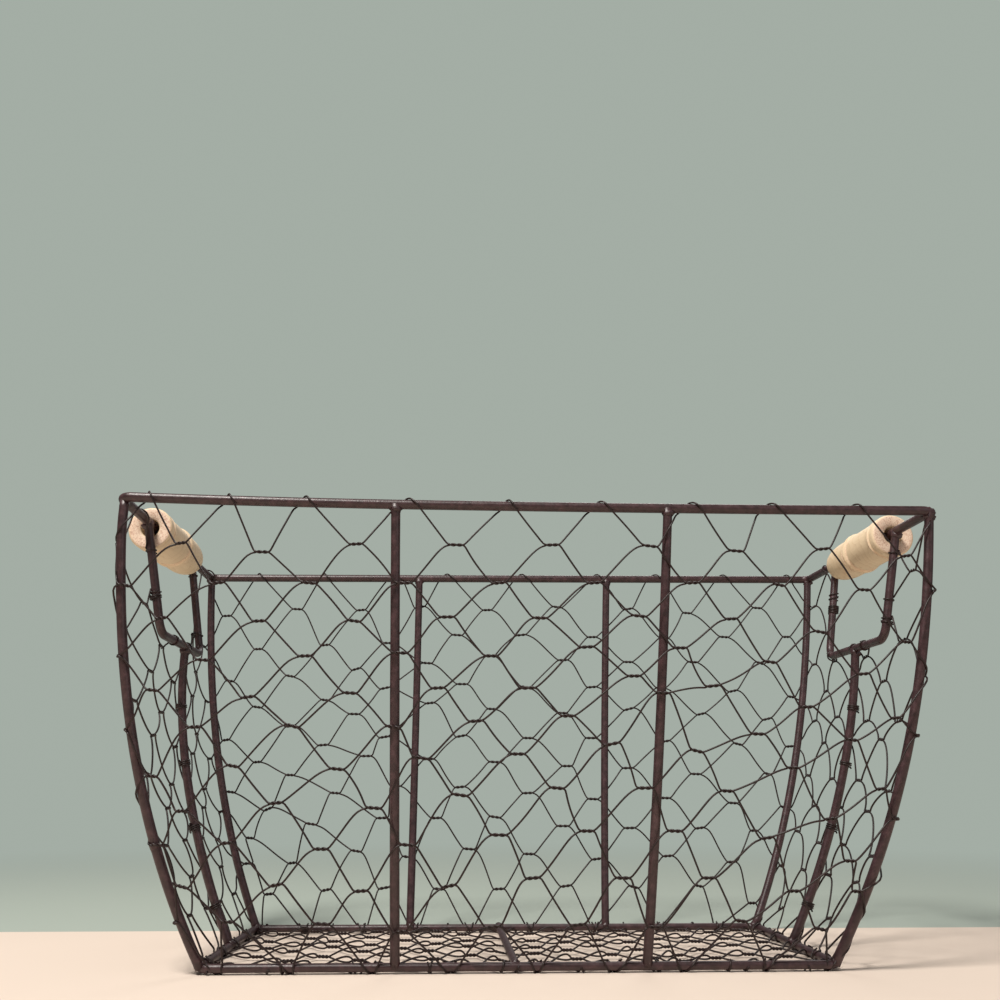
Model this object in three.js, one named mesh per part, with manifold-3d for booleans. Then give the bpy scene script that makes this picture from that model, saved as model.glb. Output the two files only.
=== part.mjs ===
// A wire magazine basket: a welded frame of painted steel rods, hexagonal wire netting
// tied round it, and two turned wooden grips that spin on the ends of the top rim.
// Millimetres, +Z up. X runs along the basket and Y across it, with the front at -Y.
// The basket stands on Z = 0, and its top rim is centred over the origin.

import * as THREE from 'three';
import Module from 'manifold-3d';

const wasm = await Module();
wasm.setup();

// Frame, between the axes of its rods.
const rimLength = 400;
const rimWidth = 180;
const baseLength = 292;
const baseWidth = 130;
const frameHeight = 212;
const baseShift = -5;
const rimCornerRadius = 3.5;
const baseCornerRadius = 4;

// The bow of the walls: how steeply they spread at the foot and at the top, where 1 would
// be a straight wall.
const footSpreadShare = 2;
const topSpreadShare = 0.32;

// Rods, and the small space that every piece keeps from its neighbour.
const rimRodRadius = 2.4;
const uprightRodRadius = 2.25;
const handleRodRadius = 2.2;
const baseRodRadius = 1.95;
const crossbarRodRadius = 2;
const rodSides = 10;
const clearance = 0.3;

// Places along X of the two ends of the base's crossbar, which lies a little askew.
const crossbarFrontX = -7.5;
const crossbarBackX = -10.5;

// Uprights in the long walls, as distances from the middle.
const frontUprightTop = 67;
const frontUprightFoot = 57.5;
const backUprightTop = 62.5;
const backUprightFoot = 57;

// The ends of an upright: a tip inside the weld, then the weld's collar, then the plain rod.
const weldTipRadius = 1.7;
const weldCollarRadius = 2.6;
const weldCollarDrop = 3.2;
const weldHeight = 6;
const footTaperHeight = 5;
const uprightSteps = 10;

// Handle brackets: two legs down from the rim, which draw together a little, and a bar
// between them. The shifts are distances along Y from the middle of the short walls.
const handleLegSpacing = 88;
const handleTaper = 4;
const handleDrop = 58;
const handleLean = 11;
const handleBendRadius = 7;
const rightHandleShift = -4;
const leftHandleShift = -2;
const rightUprightShift = -4;
const leftUprightShift = 6;
const bendSteps = 5;

// Wooden grips, from the front face to the back one.
const gripEndPlay = 1.8;
const gripBoreRadius = 4.6;
const gripRadius = 11.5;
const gripEdgeRound = 0.8;
const gripCollarLength = 6.4;
const gripGrooveDepth = 0.7;
const gripGrooveWidth = 1.4;
const gripBeadStart = 29;
const gripBeadLength = 7;
const gripNoseLength = 24;
const gripNoseRadius = 6.6;
const gripNoseSteps = 4;
const gripSegments = 24;

// Netting: cells along each wall, where the first twist lies, and the rows of twists.
const netWireHalfWidth = 0.45;
const netTwistHalfWidth = 0.75;
const netThickness = 0.8;
const frontCellCount = 9.19;
const sideCellCount = 3.81;
const firstTwistShare = 0.818;
const twistHalfShare = 0.09;
const netStretchShare = 0.12;
const netRowCount = 11;
const firstRowDrop = 21;
const lastRowRise = 18.9;
const edgeWireShare = 0.045;
const netEndGap = 0.8;
const shortestStub = 2.4;

// Base netting, of a finer mesh than the walls': cells along the base, rows across it, and how
// far the pattern lies off the middle of the base.
const baseCellCount = 8.42;
const baseRowCount = 10.65;
const basePatternShiftX = 7;
const basePatternShiftY = -3.4;

// Ties of netting wire round the rods.
const tieWireRadius = 0.45;
const tieWireSides = 4;
const tiePitch = 1.4;
const tieTurns = 2;
const tieStepsPerTurn = 8;
const uprightTieShares = [0.123, 0.377, 0.591, 0.786];
const rightFarLegTieShare = 0.5;
const leftNearLegTieShare = 0.68;

// Sizes that follow from those above.
const flatShare = Math.cos(Math.PI / rodSides);
const baseAxisZ = baseRodRadius * flatShare;
const rimAxisZ = baseAxisZ + frameHeight;
const handleBarZ = rimAxisZ - handleDrop;
const handleBarX = rimLength / 2 - handleLean;
const gripLength = handleLegSpacing - 2 * handleRodRadius - 2 * gripEndPlay;
const gripAxisZ = rimAxisZ - (gripBoreRadius - rimRodRadius - clearance);
const baseNetZ = netThickness / 2;
const crossbarAxisZ = netThickness + clearance + crossbarRodRadius * flatShare;
const cornerInsetShare = 1 - Math.SQRT1_2;
const netWallOffset = uprightRodRadius + 2 * tieWireRadius + 2 * clearance + netThickness / 2;
const netRimOffset = rimRodRadius + clearance + netThickness / 2;
const netFootOffset = baseRodRadius + clearance + netThickness / 2;

const group = new THREE.Group();

function paint(colour, roughness, metalness) {
  return new THREE.MeshStandardMaterial({ color: colour, roughness, metalness });
}

const framePaint = paint(0x43302f, 0.5, 0.5);
const netPaint = paint(0x2e2120, 0.55, 0.5);
const wood = paint(0xd9b384, 0.65, 0);

function addPiece(name, geometry, material) {
  const mesh = new THREE.Mesh(geometry, material);
  mesh.name = name;
  group.add(mesh);
  return mesh;
}

function indexedGeometry(places, triangles) {
  const geometry = new THREE.BufferGeometry();
  const positions = new Float32Array(places.flatMap((place) => place.toArray()));
  geometry.setAttribute('position', new THREE.BufferAttribute(positions, 3));
  geometry.setIndex(triangles.flat());
  geometry.computeVertexNormals();
  return geometry;
}

function toSolid(geometry) {
  return new wasm.Manifold(new wasm.Mesh({
    numProp: 3,
    vertProperties: geometry.attributes.position.array,
    triVerts: Uint32Array.from(geometry.index.array),
  }));
}

function toGeometry(solid) {
  const mesh = solid.getMesh();
  const geometry = new THREE.BufferGeometry();
  geometry.setAttribute('position', new THREE.BufferAttribute(mesh.vertProperties, 3));
  geometry.setIndex(new THREE.BufferAttribute(mesh.triVerts, 1));
  geometry.computeVertexNormals();
  return geometry;
}

function cutBy(geometry, ...cutters) {
  return toGeometry(cutters.reduce((solid, cutter) => solid.subtract(toSolid(cutter)), toSolid(geometry)));
}

// A rod along a list of places. Two of the flats of its section face along the reference.
function rod(places, radii, reference, closed = false, sides = rodSides) {
  const count = places.length;
  const radiusAt = (index) => (Array.isArray(radii) ? radii[index] : radii);
  const before = (index) => (closed ? (index + count - 1) % count : Math.max(index - 1, 0));
  const after = (index) => (closed ? (index + 1) % count : Math.min(index + 1, count - 1));
  const ring = [];
  places.forEach((place, index) => {
    const along = places[after(index)].clone().sub(places[before(index)]).normalize();
    const side = reference.clone().addScaledVector(along, -reference.dot(along)).normalize();
    const over = along.clone().cross(side);
    for (let corner = 0; corner < sides; corner += 1) {
      const angle = ((corner + 0.5) / sides) * 2 * Math.PI;
      ring.push(place.clone()
        .addScaledVector(side, radiusAt(index) * Math.cos(angle))
        .addScaledVector(over, radiusAt(index) * Math.sin(angle)));
    }
  });
  const triangles = [];
  for (let index = 0; index < (closed ? count : count - 1); index += 1) {
    for (let corner = 0; corner < sides; corner += 1) {
      const next = (corner + 1) % sides;
      const here = index * sides;
      const there = after(index) * sides;
      triangles.push([here + corner, here + next, there + next]);
      triangles.push([here + corner, there + next, there + corner]);
    }
  }
  if (!closed) {
    const last = (count - 1) * sides;
    for (let corner = 1; corner < sides - 1; corner += 1) {
      triangles.push([0, corner + 1, corner]);
      triangles.push([last, last + corner, last + corner + 1]);
    }
  }
  return indexedGeometry(ring, triangles);
}

// A polyline whose corners are rounded to one radius.
function roundedPath(corners, radius, closed = false) {
  const places = [];
  corners.forEach((corner, index) => {
    const isEnd = !closed && (index === 0 || index === corners.length - 1);
    if (isEnd) {
      places.push(corner.clone());
      return;
    }
    const toBefore = corners[(index + corners.length - 1) % corners.length].clone().sub(corner).normalize();
    const toAfter = corners[(index + 1) % corners.length].clone().sub(corner).normalize();
    const opening = toBefore.angleTo(toAfter);
    const middle = toBefore.clone().add(toAfter).normalize();
    const centre = corner.clone().addScaledVector(middle, radius / Math.sin(opening / 2));
    const start = corner.clone().addScaledVector(toBefore, radius / Math.tan(opening / 2)).sub(centre);
    const end = corner.clone().addScaledVector(toAfter, radius / Math.tan(opening / 2)).sub(centre);
    const turn = Math.PI - opening;
    for (let step = 0; step <= bendSteps; step += 1) {
      const share = step / bendSteps;
      places.push(centre.clone()
        .addScaledVector(start, Math.sin((1 - share) * turn) / Math.sin(turn))
        .addScaledVector(end, Math.sin(share * turn) / Math.sin(turn)));
    }
  });
  return places;
}

// The walls' bow. A height share runs from 0 at the base rim to 1 at the top rim.
function spreadShare(heightShare) {
  const square = heightShare ** 2;
  const cube = heightShare ** 3;
  return footSpreadShare * (cube - 2 * square + heightShare)
    + (3 * square - 2 * cube)
    + topSpreadShare * (cube - square);
}

function halfLength(heightShare) {
  return (baseLength + (rimLength - baseLength) * spreadShare(heightShare)) / 2;
}

function halfWidth(heightShare) {
  return (baseWidth + (rimWidth - baseWidth) * spreadShare(heightShare)) / 2;
}

function shiftAt(heightShare) {
  return baseShift * (1 - heightShare);
}

const up = new THREE.Vector3(0, 0, 1);

function rectanglePath(length, width, centreX, z, radius) {
  const corners = [[-1, -1], [1, -1], [1, 1], [-1, 1]].map(([sideX, sideY]) => (
    new THREE.Vector3(centreX + sideX * length / 2, sideY * width / 2, z)));
  return roundedPath(corners, radius, true);
}

function topRim(extra = 0) {
  const path = rectanglePath(rimLength, rimWidth, 0, rimAxisZ, rimCornerRadius);
  return rod(path, rimRodRadius + extra, up, true);
}

function baseRim(extra = 0) {
  const path = rectanglePath(baseLength, baseWidth, baseShift, baseAxisZ, baseCornerRadius);
  return rod(path, baseRodRadius + extra, up, true);
}

// The crossbar runs from one long rod of the base rim to the other, over the base netting.
function baseCrossbar() {
  const ends = [
    new THREE.Vector3(crossbarFrontX, -baseWidth / 2, crossbarAxisZ),
    new THREE.Vector3(crossbarBackX, baseWidth / 2, crossbarAxisZ),
  ];
  return cutBy(rod(ends, crossbarRodRadius, up), baseRim(clearance));
}

// Heights above the base rim's axis, each with the radius of the upright there.
function uprightStations(topHeight) {
  const plainTop = topHeight - weldHeight;
  const stations = [[0, weldTipRadius], [footTaperHeight, uprightRodRadius]];
  for (let step = 1; step < uprightSteps; step += 1) {
    const share = step / uprightSteps;
    stations.push([footTaperHeight + (plainTop - footTaperHeight) * share, uprightRodRadius]);
  }
  stations.push([plainTop, uprightRodRadius], [topHeight - weldCollarDrop, weldCollarRadius]);
  stations.push([topHeight, weldTipRadius]);
  return stations;
}

function upright(planPlace, topHeight, reference, cutters) {
  const stations = uprightStations(topHeight);
  const places = stations.map(([height]) => {
    const [x, y] = planPlace(height / frameHeight);
    return new THREE.Vector3(x, y, baseAxisZ + height);
  });
  return cutBy(rod(places, stations.map(([, radius]) => radius), reference), ...cutters);
}

function cornerPlan(sideX, sideY) {
  return (heightShare) => {
    const inset = cornerInsetShare * (baseCornerRadius + (rimCornerRadius - baseCornerRadius) * heightShare);
    return [
      sideX * (halfLength(heightShare) - inset) + shiftAt(heightShare),
      sideY * (halfWidth(heightShare) - inset),
    ];
  };
}

function wallPlan(sideX, sideY, top, foot) {
  return (heightShare) => [
    sideX * (foot + (top - foot) * heightShare) + shiftAt(heightShare),
    sideY * halfWidth(heightShare),
  ];
}

const handleShare = (frameHeight - handleDrop) / frameHeight;

// A side upright follows the wall, and draws in near its top to meet the handle's bar.
function sidePlan(sideX, uprightShift) {
  const drawIn = halfLength(handleShare) + sideX * shiftAt(handleShare) - handleBarX;
  return (heightShare) => {
    const share = heightShare / handleShare;
    return [
      sideX * (halfLength(heightShare) - drawIn * share ** 4) + shiftAt(heightShare),
      uprightShift * share,
    ];
  };
}

// How far a handle's legs lie from its middle, at a share of the way down from the rim to
// the bar.
function legSpread(dropShare) {
  return handleLegSpacing / 2 - handleTaper * dropShare;
}

function handlePlaces(sideX, handleShift) {
  return [
    new THREE.Vector3(sideX * rimLength / 2, handleShift - legSpread(0), rimAxisZ),
    new THREE.Vector3(sideX * handleBarX, handleShift - legSpread(1), handleBarZ),
    new THREE.Vector3(sideX * handleBarX, handleShift + legSpread(1), handleBarZ),
    new THREE.Vector3(sideX * rimLength / 2, handleShift + legSpread(0), rimAxisZ),
  ];
}

function handleBracket(sideX, handleShift, extra = 0) {
  const reference = new THREE.Vector3(handleDrop, 0, -sideX * handleLean).normalize();
  const path = roundedPath(handlePlaces(sideX, handleShift), handleBendRadius);
  return rod(path, handleRodRadius + extra, reference);
}

// The profile of a grip, as radius and distance from its front face.
function gripProfile() {
  const groove = (start) => [
    [gripRadius, start],
    [gripRadius - gripGrooveDepth, start + gripGrooveWidth / 2],
    [gripRadius, start + gripGrooveWidth],
  ];
  const noseStart = gripLength - gripNoseLength;
  const nose = [];
  for (let step = 0; step <= gripNoseSteps; step += 1) {
    const angle = (step / gripNoseSteps) * Math.PI / 2;
    nose.push([
      gripNoseRadius + (gripRadius - gripNoseRadius) * Math.cos(angle),
      noseStart + gripNoseLength * Math.sin(angle),
    ]);
  }
  return [
    [gripBoreRadius, 0],
    [gripRadius - gripEdgeRound, 0],
    [gripRadius, gripEdgeRound],
    ...groove(gripCollarLength),
    ...groove(gripBeadStart),
    ...groove(gripBeadStart + gripBeadLength),
    ...nose,
    [gripBoreRadius, gripLength],
    [gripBoreRadius, 0],
  ];
}

function grip(sideX, handleShift, name) {
  const outline = gripProfile().map(([radius, along]) => new THREE.Vector2(radius, along - gripLength / 2));
  const piece = addPiece(name, new THREE.LatheGeometry(outline, gripSegments), wood);
  piece.position.set(sideX * rimLength / 2, handleShift, gripAxisZ);
}

// Netting as one thin body of ridged wires. Each node has a place and two directions that
// span the sheet there, seen from outside. Each wire joins two nodes.
function netBody(nodes, wires) {
  const spokes = nodes.map(() => []);
  wires.forEach((wire) => {
    [[wire.from, wire.to], [wire.to, wire.from]].forEach(([here, there]) => {
      const heading = nodes[there].place.clone().sub(nodes[here].place);
      spokes[here].push({
        wire,
        angle: Math.atan2(heading.dot(nodes[here].rise), heading.dot(nodes[here].across)),
        halfWidth: wire.halfWidth,
      });
    });
  });
  const places = [];
  const triangles = [];
  const ridge = [];
  const valleys = [];
  nodes.forEach((node, index) => {
    const outward = node.across.clone().cross(node.rise).normalize();
    const put = (across, rise, out) => {
      places.push(node.place.clone()
        .addScaledVector(node.across, across)
        .addScaledVector(node.rise, rise)
        .addScaledVector(outward, out));
      return places.length - 1;
    };
    ridge.push(put(0, 0, netThickness / 2));
    const around = spokes[index].sort((one, other) => one.angle - other.angle);
    const valleyAt = ([across, rise]) => put(across, rise, -netThickness / 2);
    if (around.length === 1) {
      valleys.push([leftOf(around[0]), rightOf(around[0])].map(valleyAt));
    } else {
      valleys.push(around.map((spoke, order) => (
        valleyAt(between(spoke, around[(order + 1) % around.length])))));
    }
    if (around.length === 1) {
      triangles.push([ridge[index], valleys[index][0], valleys[index][1]]);
    }
    if (around.length === 3) {
      triangles.push([valleys[index][0], valleys[index][2], valleys[index][1]]);
    }
  });
  const flanks = (here, wire) => {
    const order = spokes[here].findIndex((spoke) => spoke.wire === wire);
    const round = valleys[here];
    return spokes[here].length === 1
      ? { left: round[0], right: round[1] }
      : { left: round[order], right: round[(order + round.length - 1) % round.length] };
  };
  wires.forEach((wire) => {
    const start = flanks(wire.from, wire);
    const end = flanks(wire.to, wire);
    const [topStart, topEnd] = [ridge[wire.from], ridge[wire.to]];
    triangles.push([topStart, topEnd, end.right], [topStart, end.right, start.left]);
    triangles.push([topEnd, topStart, start.right], [topEnd, start.right, end.left]);
    triangles.push([start.left, end.right, end.left], [start.left, end.left, start.right]);
  });
  return indexedGeometry(places, triangles);
}

function leftOf(spoke) {
  return [-Math.sin(spoke.angle) * spoke.halfWidth, Math.cos(spoke.angle) * spoke.halfWidth];
}

function rightOf(spoke) {
  return [Math.sin(spoke.angle) * spoke.halfWidth, -Math.cos(spoke.angle) * spoke.halfWidth];
}

// Where the left edge of one wire meets the right edge of the next.
function between(spoke, next) {
  const turn = Math.sin(spoke.angle - next.angle);
  const [leftX, leftY] = [-Math.sin(spoke.angle), Math.cos(spoke.angle)];
  const [rightX, rightY] = [Math.sin(next.angle), -Math.cos(next.angle)];
  const nearlyStraightShare = 0.35;
  if (Math.abs(turn) < nearlyStraightShare) {
    return [0, 1].map((axis) => (leftOf(spoke)[axis] + rightOf(next)[axis]) / 2);
  }
  return [
    (spoke.halfWidth * rightY - next.halfWidth * leftY) / turn,
    (next.halfWidth * leftX - spoke.halfWidth * rightX) / turn,
  ];
}

// Netting laid over a region. Twists lie in rows, each row half a cell off the last, and
// slanting wires join the end of a twist to the nearer ends of those in the next row.
function laceNet(rowPlaces, firstCell, lastCell, isInside, placeOf) {
  const points = new Map();
  const wires = [];
  const pointAt = (key, cell, height) => {
    points.set(key, { key, cell, height });
    return key;
  };
  const shiftOf = (row) => (row % 2 === 0 ? -0.5 : 0);
  const lastRow = rowPlaces.length - 1;
  rowPlaces.forEach((height, row) => {
    for (let count = firstCell; count <= lastCell; count += 1) {
      const middle = firstTwistShare + count + shiftOf(row);
      const isEdge = row === 0 || row === lastRow;
      const half = isEdge ? edgeWireShare : twistHalfShare;
      const [start, end] = [`${row} ${middle.toFixed(3)} start`, `${row} ${middle.toFixed(3)} end`];
      pointAt(start, middle - half, height);
      pointAt(end, middle + half, height);
      if (!isEdge) {
        wires.push([start, end, netTwistHalfWidth]);
      }
      if (row < lastRow) {
        wires.push([start, `${row + 1} ${(middle - 0.5).toFixed(3)} end`, netWireHalfWidth]);
        wires.push([end, `${row + 1} ${(middle + 0.5).toFixed(3)} start`, netWireHalfWidth]);
      }
    }
  });
  return clipNet(points, wires, isInside, placeOf);
}

function clipNet(points, wires, isInside, placeOf) {
  const kept = [];
  const inside = (point) => isInside(point.cell, point.height);
  const mix = (one, other, share) => ({
    cell: one.cell + (other.cell - one.cell) * share,
    height: one.height + (other.height - one.height) * share,
  });
  wires.forEach(([startKey, endKey, halfWidth]) => {
    const [start, end] = [points.get(startKey), points.get(endKey)];
    if (!start || !end || (!inside(start) && !inside(end))) {
      return;
    }
    if (inside(start) && inside(end)) {
      kept.push([start, end, halfWidth]);
      return;
    }
    const [stays, leaves] = inside(start) ? [start, end] : [end, start];
    let [low, high] = [0, 1];
    for (let halving = 0; halving < 20; halving += 1) {
      const share = (low + high) / 2;
      [low, high] = inside(mix(stays, leaves, share)) ? [share, high] : [low, share];
    }
    const edge = { ...mix(stays, leaves, low), key: `cut ${startKey} ${endKey}` };
    const length = placeOf(stays.cell, stays.height).place.distanceTo(placeOf(edge.cell, edge.height).place);
    if (length > shortestStub) {
      kept.push([stays, edge, halfWidth]);
    }
  });
  return numberNet(largestPatch(kept), placeOf);
}

// Only the largest connected patch of wires stays.
function largestPatch(wires) {
  const leader = new Map();
  const find = (key) => (leader.get(key) === key ? key : find(leader.get(key)));
  wires.forEach(([start, end]) => {
    [start.key, end.key].forEach((key) => leader.has(key) || leader.set(key, key));
    leader.set(find(start.key), find(end.key));
  });
  const sizes = new Map();
  wires.forEach(([start]) => sizes.set(find(start.key), (sizes.get(find(start.key)) ?? 0) + 1));
  const [largest] = [...sizes.entries()].sort((one, other) => other[1] - one[1])[0];
  return wires.filter(([start]) => find(start.key) === largest);
}

function numberNet(wires, placeOf) {
  const numbers = new Map();
  const nodes = [];
  const numberOf = (point) => {
    if (!numbers.has(point.key)) {
      numbers.set(point.key, nodes.length);
      nodes.push(placeOf(point.cell, point.height));
    }
    return numbers.get(point.key);
  };
  return netBody(nodes, wires.map(([start, end, halfWidth]) => (
    { from: numberOf(start), to: numberOf(end), halfWidth })).filter((wire) => nodes[wire.from]));
}

// How far the netting stands out from the walls' rods, at a height above the base rim's axis.
function netOffset(height) {
  const lastRowHeight = rowHeights()[netRowCount - 1];
  const topRowHeight = rowHeights()[0];
  if (height > topRowHeight) {
    const share = (height - topRowHeight) / (frameHeight - topRowHeight);
    return netWallOffset + (netRimOffset - netWallOffset) * share;
  }
  if (height < lastRowHeight) {
    return netFootOffset + (netWallOffset - netFootOffset) * (height / lastRowHeight);
  }
  return netWallOffset;
}

// Heights of the rows of twists, from the top one down.
function rowHeights() {
  const span = frameHeight - firstRowDrop - lastRowRise;
  return Array.from({ length: netRowCount }, (unused, row) => (
    frameHeight - firstRowDrop - span * row / (netRowCount - 1)));
}

// A wall, by the direction that it faces. Cells count from its left end, seen from outside.
function wallPlaceOf(facing, startCell, cellCount, stretch) {
  const across = new THREE.Vector3(-facing.y, facing.x, 0);
  const halfAcross = facing.x === 0 ? halfLength : halfWidth;
  const halfOut = facing.x === 0 ? halfWidth : halfLength;
  const planAt = (cell, height) => {
    const heightShare = height / frameHeight;
    const along = 2 * (cell - startCell) / cellCount - 1;
    const alongShare = along * (1 + stretch * (1 - along ** 2));
    const cornerShare = Math.min(cell - startCell, startCell + cellCount - cell) / edgeWireShare;
    const turn = cornerShare < 1 ? Math.SQRT1_2 : 1;
    const spill = cornerShare < 1 ? Math.sign(along) * Math.SQRT1_2 : 0;
    return new THREE.Vector3(shiftAt(heightShare), 0, baseAxisZ + height)
      .addScaledVector(across, halfAcross(heightShare) * alongShare + netOffset(height) * spill)
      .addScaledVector(facing, halfOut(heightShare) + netOffset(height) * turn);
  };
  return (cell, height) => {
    const rise = planAt(cell, height + clearance).sub(planAt(cell, height - clearance));
    rise.addScaledVector(across, -rise.dot(across)).normalize();
    return { place: planAt(cell, height), across, rise };
  };
}

function wallNet(facing, startCell, cellCount, stretch, isOpen) {
  const halfAcross = facing.x === 0 ? rimLength / 2 : rimWidth / 2;
  const endShare = netEndGap * cellCount / (2 * halfAcross);
  const placeOf = wallPlaceOf(facing, startCell, cellCount, stretch);
  const isInside = (cell, height) => (
    cell > startCell + endShare
    && cell < startCell + cellCount - endShare
    && !isOpen(placeOf(cell, height).place));
  const rows = [frameHeight, ...rowHeights(), 0];
  return laceNet(rows, Math.floor(startCell) - 2, Math.ceil(startCell + cellCount) + 2, isInside, placeOf);
}

// The handhold: the netting is cut away between a handle's legs, above its bar.
function handhold(handleShift) {
  return (place) => (
    Math.abs(place.y - handleShift) < legSpread(0) && place.z > handleBarZ);
}

function baseNet() {
  const cellLength = baseLength / baseCellCount;
  const inset = uprightRodRadius + clearance + netWireHalfWidth;
  const rowPitch = baseWidth / baseRowCount;
  const rowCount = Math.ceil(baseRowCount) + 2;
  const rows = Array.from({ length: rowCount }, (unused, row) => (
    basePatternShiftY + ((rowCount - 1) / 2 - row) * rowPitch));
  const alongOf = (cell) => basePatternShiftX + (cell - baseCellCount / 2) * cellLength;
  const placeOf = (cell, height) => ({
    place: new THREE.Vector3(baseShift + alongOf(cell), height, baseNetZ),
    across: new THREE.Vector3(1, 0, 0),
    rise: new THREE.Vector3(0, 1, 0),
  });
  const isInside = (cell, height) => (
    Math.abs(alongOf(cell)) < baseLength / 2 - inset
    && Math.abs(height) < baseWidth / 2 - inset);
  return laceNet(rows, -2, Math.ceil(baseCellCount) + 2, isInside, placeOf);
}

// A tie: a few turns of wire round a rod.
function tie(name, centre, along, rodRadius) {
  const coilRadius = rodRadius + clearance + tieWireRadius;
  const side = new THREE.Vector3(0, 1, 0);
  if (Math.abs(along.y) > Math.abs(along.z)) {
    side.set(0, 0, 1);
  }
  side.addScaledVector(along, -side.dot(along)).normalize();
  const over = along.clone().cross(side);
  const places = [];
  for (let step = 0; step <= tieTurns * tieStepsPerTurn; step += 1) {
    const turn = step / tieStepsPerTurn;
    const angle = turn * 2 * Math.PI;
    places.push(centre.clone()
      .addScaledVector(along, (turn - tieTurns / 2) * tiePitch)
      .addScaledVector(side, coilRadius * Math.cos(angle))
      .addScaledVector(over, coilRadius * Math.sin(angle)));
  }
  addPiece(name, rod(places, tieWireRadius, along, false, tieWireSides), netPaint);
  return leastGap(places);
}

// The least space between one turn of a tie and the next.
function leastGap(places) {
  let least = Infinity;
  places.forEach((place, index) => {
    places.slice(index + Math.ceil(tieStepsPerTurn / 2)).forEach((other) => {
      least = Math.min(least, place.distanceTo(other) - 2 * tieWireRadius);
    });
  });
  return least;
}

function tiesOnUpright(side, sideX, uprightShift) {
  const plan = sidePlan(sideX, uprightShift);
  const placeAt = (height) => {
    const [x, y] = plan(height / frameHeight);
    return new THREE.Vector3(x, y, baseAxisZ + height);
  };
  return uprightTieShares.map((share, index) => {
    const height = share * (frameHeight - handleDrop);
    const along = placeAt(height + tiePitch).sub(placeAt(height - tiePitch)).normalize();
    return tie(`${side}_upright_tie_${index + 1}`, placeAt(height), along, uprightRodRadius);
  });
}

// The leg is named by its handle's place and the end of the handle that it stands at.
function tieOnLeg(name, sideX, handleShift, end, dropShare) {
  const along = new THREE.Vector3(-sideX * handleLean, -end * handleTaper, -handleDrop).normalize();
  const centre = new THREE.Vector3(
    sideX * (rimLength / 2 - handleLean * dropShare),
    handleShift + end * legSpread(dropShare),
    rimAxisZ - handleDrop * dropShare,
  );
  return tie(name, centre, along, handleRodRadius);
}

function addFrame() {
  const rimCutter = topRim(clearance);
  const baseCutter = baseRim(clearance);
  addPiece('top_rim', topRim(), framePaint);
  addPiece('base_rim', baseRim(), framePaint);
  addPiece('base_crossbar', baseCrossbar(), framePaint);
  [['front', -1], ['back', 1]].forEach(([end, sideY]) => {
    const outward = new THREE.Vector3(0, sideY, 0);
    const [top, foot] = sideY < 0 ? [frontUprightTop, frontUprightFoot] : [backUprightTop, backUprightFoot];
    [['left', -1], ['right', 1]].forEach(([side, sideX]) => {
      const cutters = [rimCutter, baseCutter];
      addPiece(`${end}_${side}_corner_upright`,
        upright(cornerPlan(sideX, sideY), frameHeight, outward, cutters), framePaint);
      addPiece(`${end}_${side}_wall_upright`,
        upright(wallPlan(sideX, sideY, top, foot), frameHeight, outward, cutters), framePaint);
    });
  });
}

function addHandle(side, sideX, handleShift, uprightShift) {
  const reference = new THREE.Vector3(sideX, 0, 0);
  const bracket = handleBracket(sideX, handleShift);
  addPiece(`${side}_handle_bracket`, cutBy(bracket, topRim(clearance)), framePaint);
  addPiece(`${side}_side_upright`,
    upright(sidePlan(sideX, uprightShift), frameHeight - handleDrop, reference,
      [handleBracket(sideX, handleShift, clearance), baseRim(clearance)]), framePaint);
  grip(sideX, handleShift, `${side}_wooden_grip`);
}

function addNetting() {
  const nowhere = () => false;
  const turnCells = frontCellCount + sideCellCount;
  const walls = [
    ['front_netting', [0, -1], 0, frontCellCount, netStretchShare, nowhere],
    ['right_netting', [1, 0], frontCellCount, sideCellCount, 0, handhold(rightHandleShift)],
    ['back_netting', [0, 1], turnCells, frontCellCount, netStretchShare, nowhere],
    ['left_netting', [-1, 0], turnCells + frontCellCount, sideCellCount, 0, handhold(leftHandleShift)],
  ];
  walls.forEach(([name, [x, y], startCell, cellCount, stretch, isOpen]) => {
    const facing = new THREE.Vector3(x, y, 0);
    addPiece(name, wallNet(facing, startCell, cellCount, stretch, isOpen), netPaint);
  });
  addPiece('base_netting', baseNet(), netPaint);
}

function addTies() {
  const gaps = [
    ...tiesOnUpright('left', -1, leftUprightShift),
    ...tiesOnUpright('right', 1, rightUprightShift),
    tieOnLeg('left_near_leg_tie', -1, leftHandleShift, -1, leftNearLegTieShare),
    tieOnLeg('right_far_leg_tie', 1, rightHandleShift, 1, rightFarLegTieShare),
  ];
  console.log(`least gap between the turns of a tie: ${Math.min(...gaps).toFixed(2)} mm`);
}

addFrame();
addHandle('left', -1, leftHandleShift, leftUprightShift);
addHandle('right', 1, rightHandleShift, rightUprightShift);
addNetting();
addTies();

export default group;
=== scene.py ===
# A wire magazine basket: painted steel rods, twisted wire netting that hooks round them,
# wire ties, weld beads and two turned wooden grips. Metres, +Z up, the front at -Y.

import math
from collections import namedtuple

import bpy
import numpy as np
from mathutils import Matrix, Vector


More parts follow.
